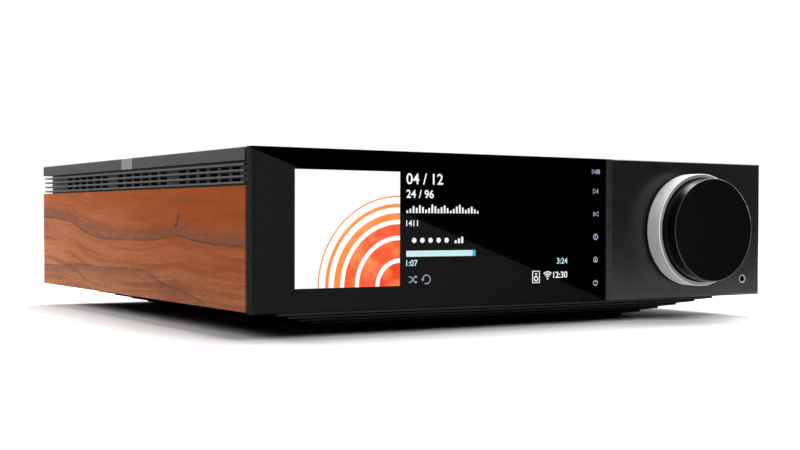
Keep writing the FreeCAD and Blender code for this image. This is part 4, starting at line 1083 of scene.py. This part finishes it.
def makeFloor():
    tree, shader = newMaterial("floorWhite")
    # white far from the object, where the lamps no longer reach
    away = vectorCalc("DISTANCE", objectPlace(tree), (0, 0, 0)).outputs["Value"]
    far = mapRange(away, stageLight["glowFrom"], stageLight["glowTo"], smooth=True)
    feed(shader, {"Base Color": stageLight["floorColor"], "Roughness": 1.0, "Specular IOR Level": 0.0,
                  "Emission Color": (1, 1, 1), "Emission Strength": times(far, whiteToEye(tree))})
    reach = stageLight["floorReach"]
    stagePlane("floor", [(x, y, 0) for x, y in rectangle(-reach, -reach, reach, reach)], "floorWhite")


def makeBoard():
    # a dark board that shows only as the reflection in the front, paler in its lower left
    board = stageLight["board"]
    tree, glow = newMaterial("boardDark", "Emission")
    place = splitAxes(objectPlace(tree))
    (xa, za), (xb, zb) = board["edge"]
    line = plus(times(minus(place["X"], xa), (zb - za) / (xb - xa)), za)
    below = mapRange(minus(line, place["Z"]), 0.0, 0.0005)
    feed(glow, {"Strength": times(below, mapRange(place["X"], xa, xb, *board["glow"]))})
    y = glassLow.y - board["gap"]
    item = stagePlane("reflection_board", [(x, y, z) for x, z in rectangle(*board["ends"])], "boardDark")
    item.visible_camera = item.visible_diffuse = item.visible_shadow = item.visible_transmission = False


def makeLights():
    for name, lamp in stageLight["lamps"].items():
        data = bpy.data.lights.new(name, "AREA")
        data.shape = "RECTANGLE"
        data.size, data.size_y = lamp["size"]
        data.energy = lamp["power"]
        item = addItem(name, data)
        item.location = lamp["place"]
        ahead = Vector(lamp["aim"]) - Vector(lamp["place"])
        item.rotation_euler = ahead.to_track_quat("-Z", "Y").to_euler()
        item.visible_camera = False
    world = bpy.data.worlds.new("whiteRoom")
    bpy.context.scene.world = world
    world.use_nodes = True
    tree = world.node_tree
    tree.nodes.clear()
    strength = mapRange(whiteToEye(tree), 0.0, 1.0, stageLight["worldDiffuse"], 1.0)
    background = addNode(tree, "Background", {"Color": (1, 1, 1), "Strength": strength})
    addNode(tree, "OutputWorld", {"Surface": background.outputs[0]})


# The camera, as fitted to the photograph; its place is from the middle of the glass's front at floor level
camera = {"fromGlass": (-0.40144, -0.56373, 0.05679), "yaw": 35.921, "pitch": -1.011, "roll": 0.2637,
          "focalPixels": 1336.05, "centrePixels": (549.95, 242.41), "imageSize": (800, 450),
          "sensor": 36.0, "clipStart": 0.01}


def makeCamera():
    yaw, pitch, roll = (radians(camera[name]) for name in ("yaw", "pitch", "roll"))
    ahead = Vector((sin(yaw) * cos(pitch), cos(yaw) * cos(pitch), sin(pitch)))
    level = Vector((cos(yaw), -sin(yaw), 0))
    upright = level.cross(ahead)
    right = level * cos(roll) + upright * sin(roll)
    up = upright * cos(roll) - level * sin(roll)
    data = bpy.data.cameras.new("camera")
    width, height = camera["imageSize"]
    data.sensor_width = camera["sensor"]
    data.lens = camera["focalPixels"] * camera["sensor"] / width
    data.shift_x = (width / 2 - camera["centrePixels"][0]) / width
    data.shift_y = (camera["centrePixels"][1] - height / 2) / width
    data.clip_start = camera["clipStart"]
    item = addItem("camera", data)
    place = Vector(camera["fromGlass"]) + Vector((0, glassLow.y, 0))
    item.matrix_world = Matrix.Translation(place) @ Matrix((right, up, -ahead)).transposed().to_4x4()
    bpy.context.scene.camera = item


makeFloor()
makeBoard()
makeLights()
makeCamera()
bpy.context.scene.view_settings.view_transform = "Standard"
print("stage, lights and camera made")
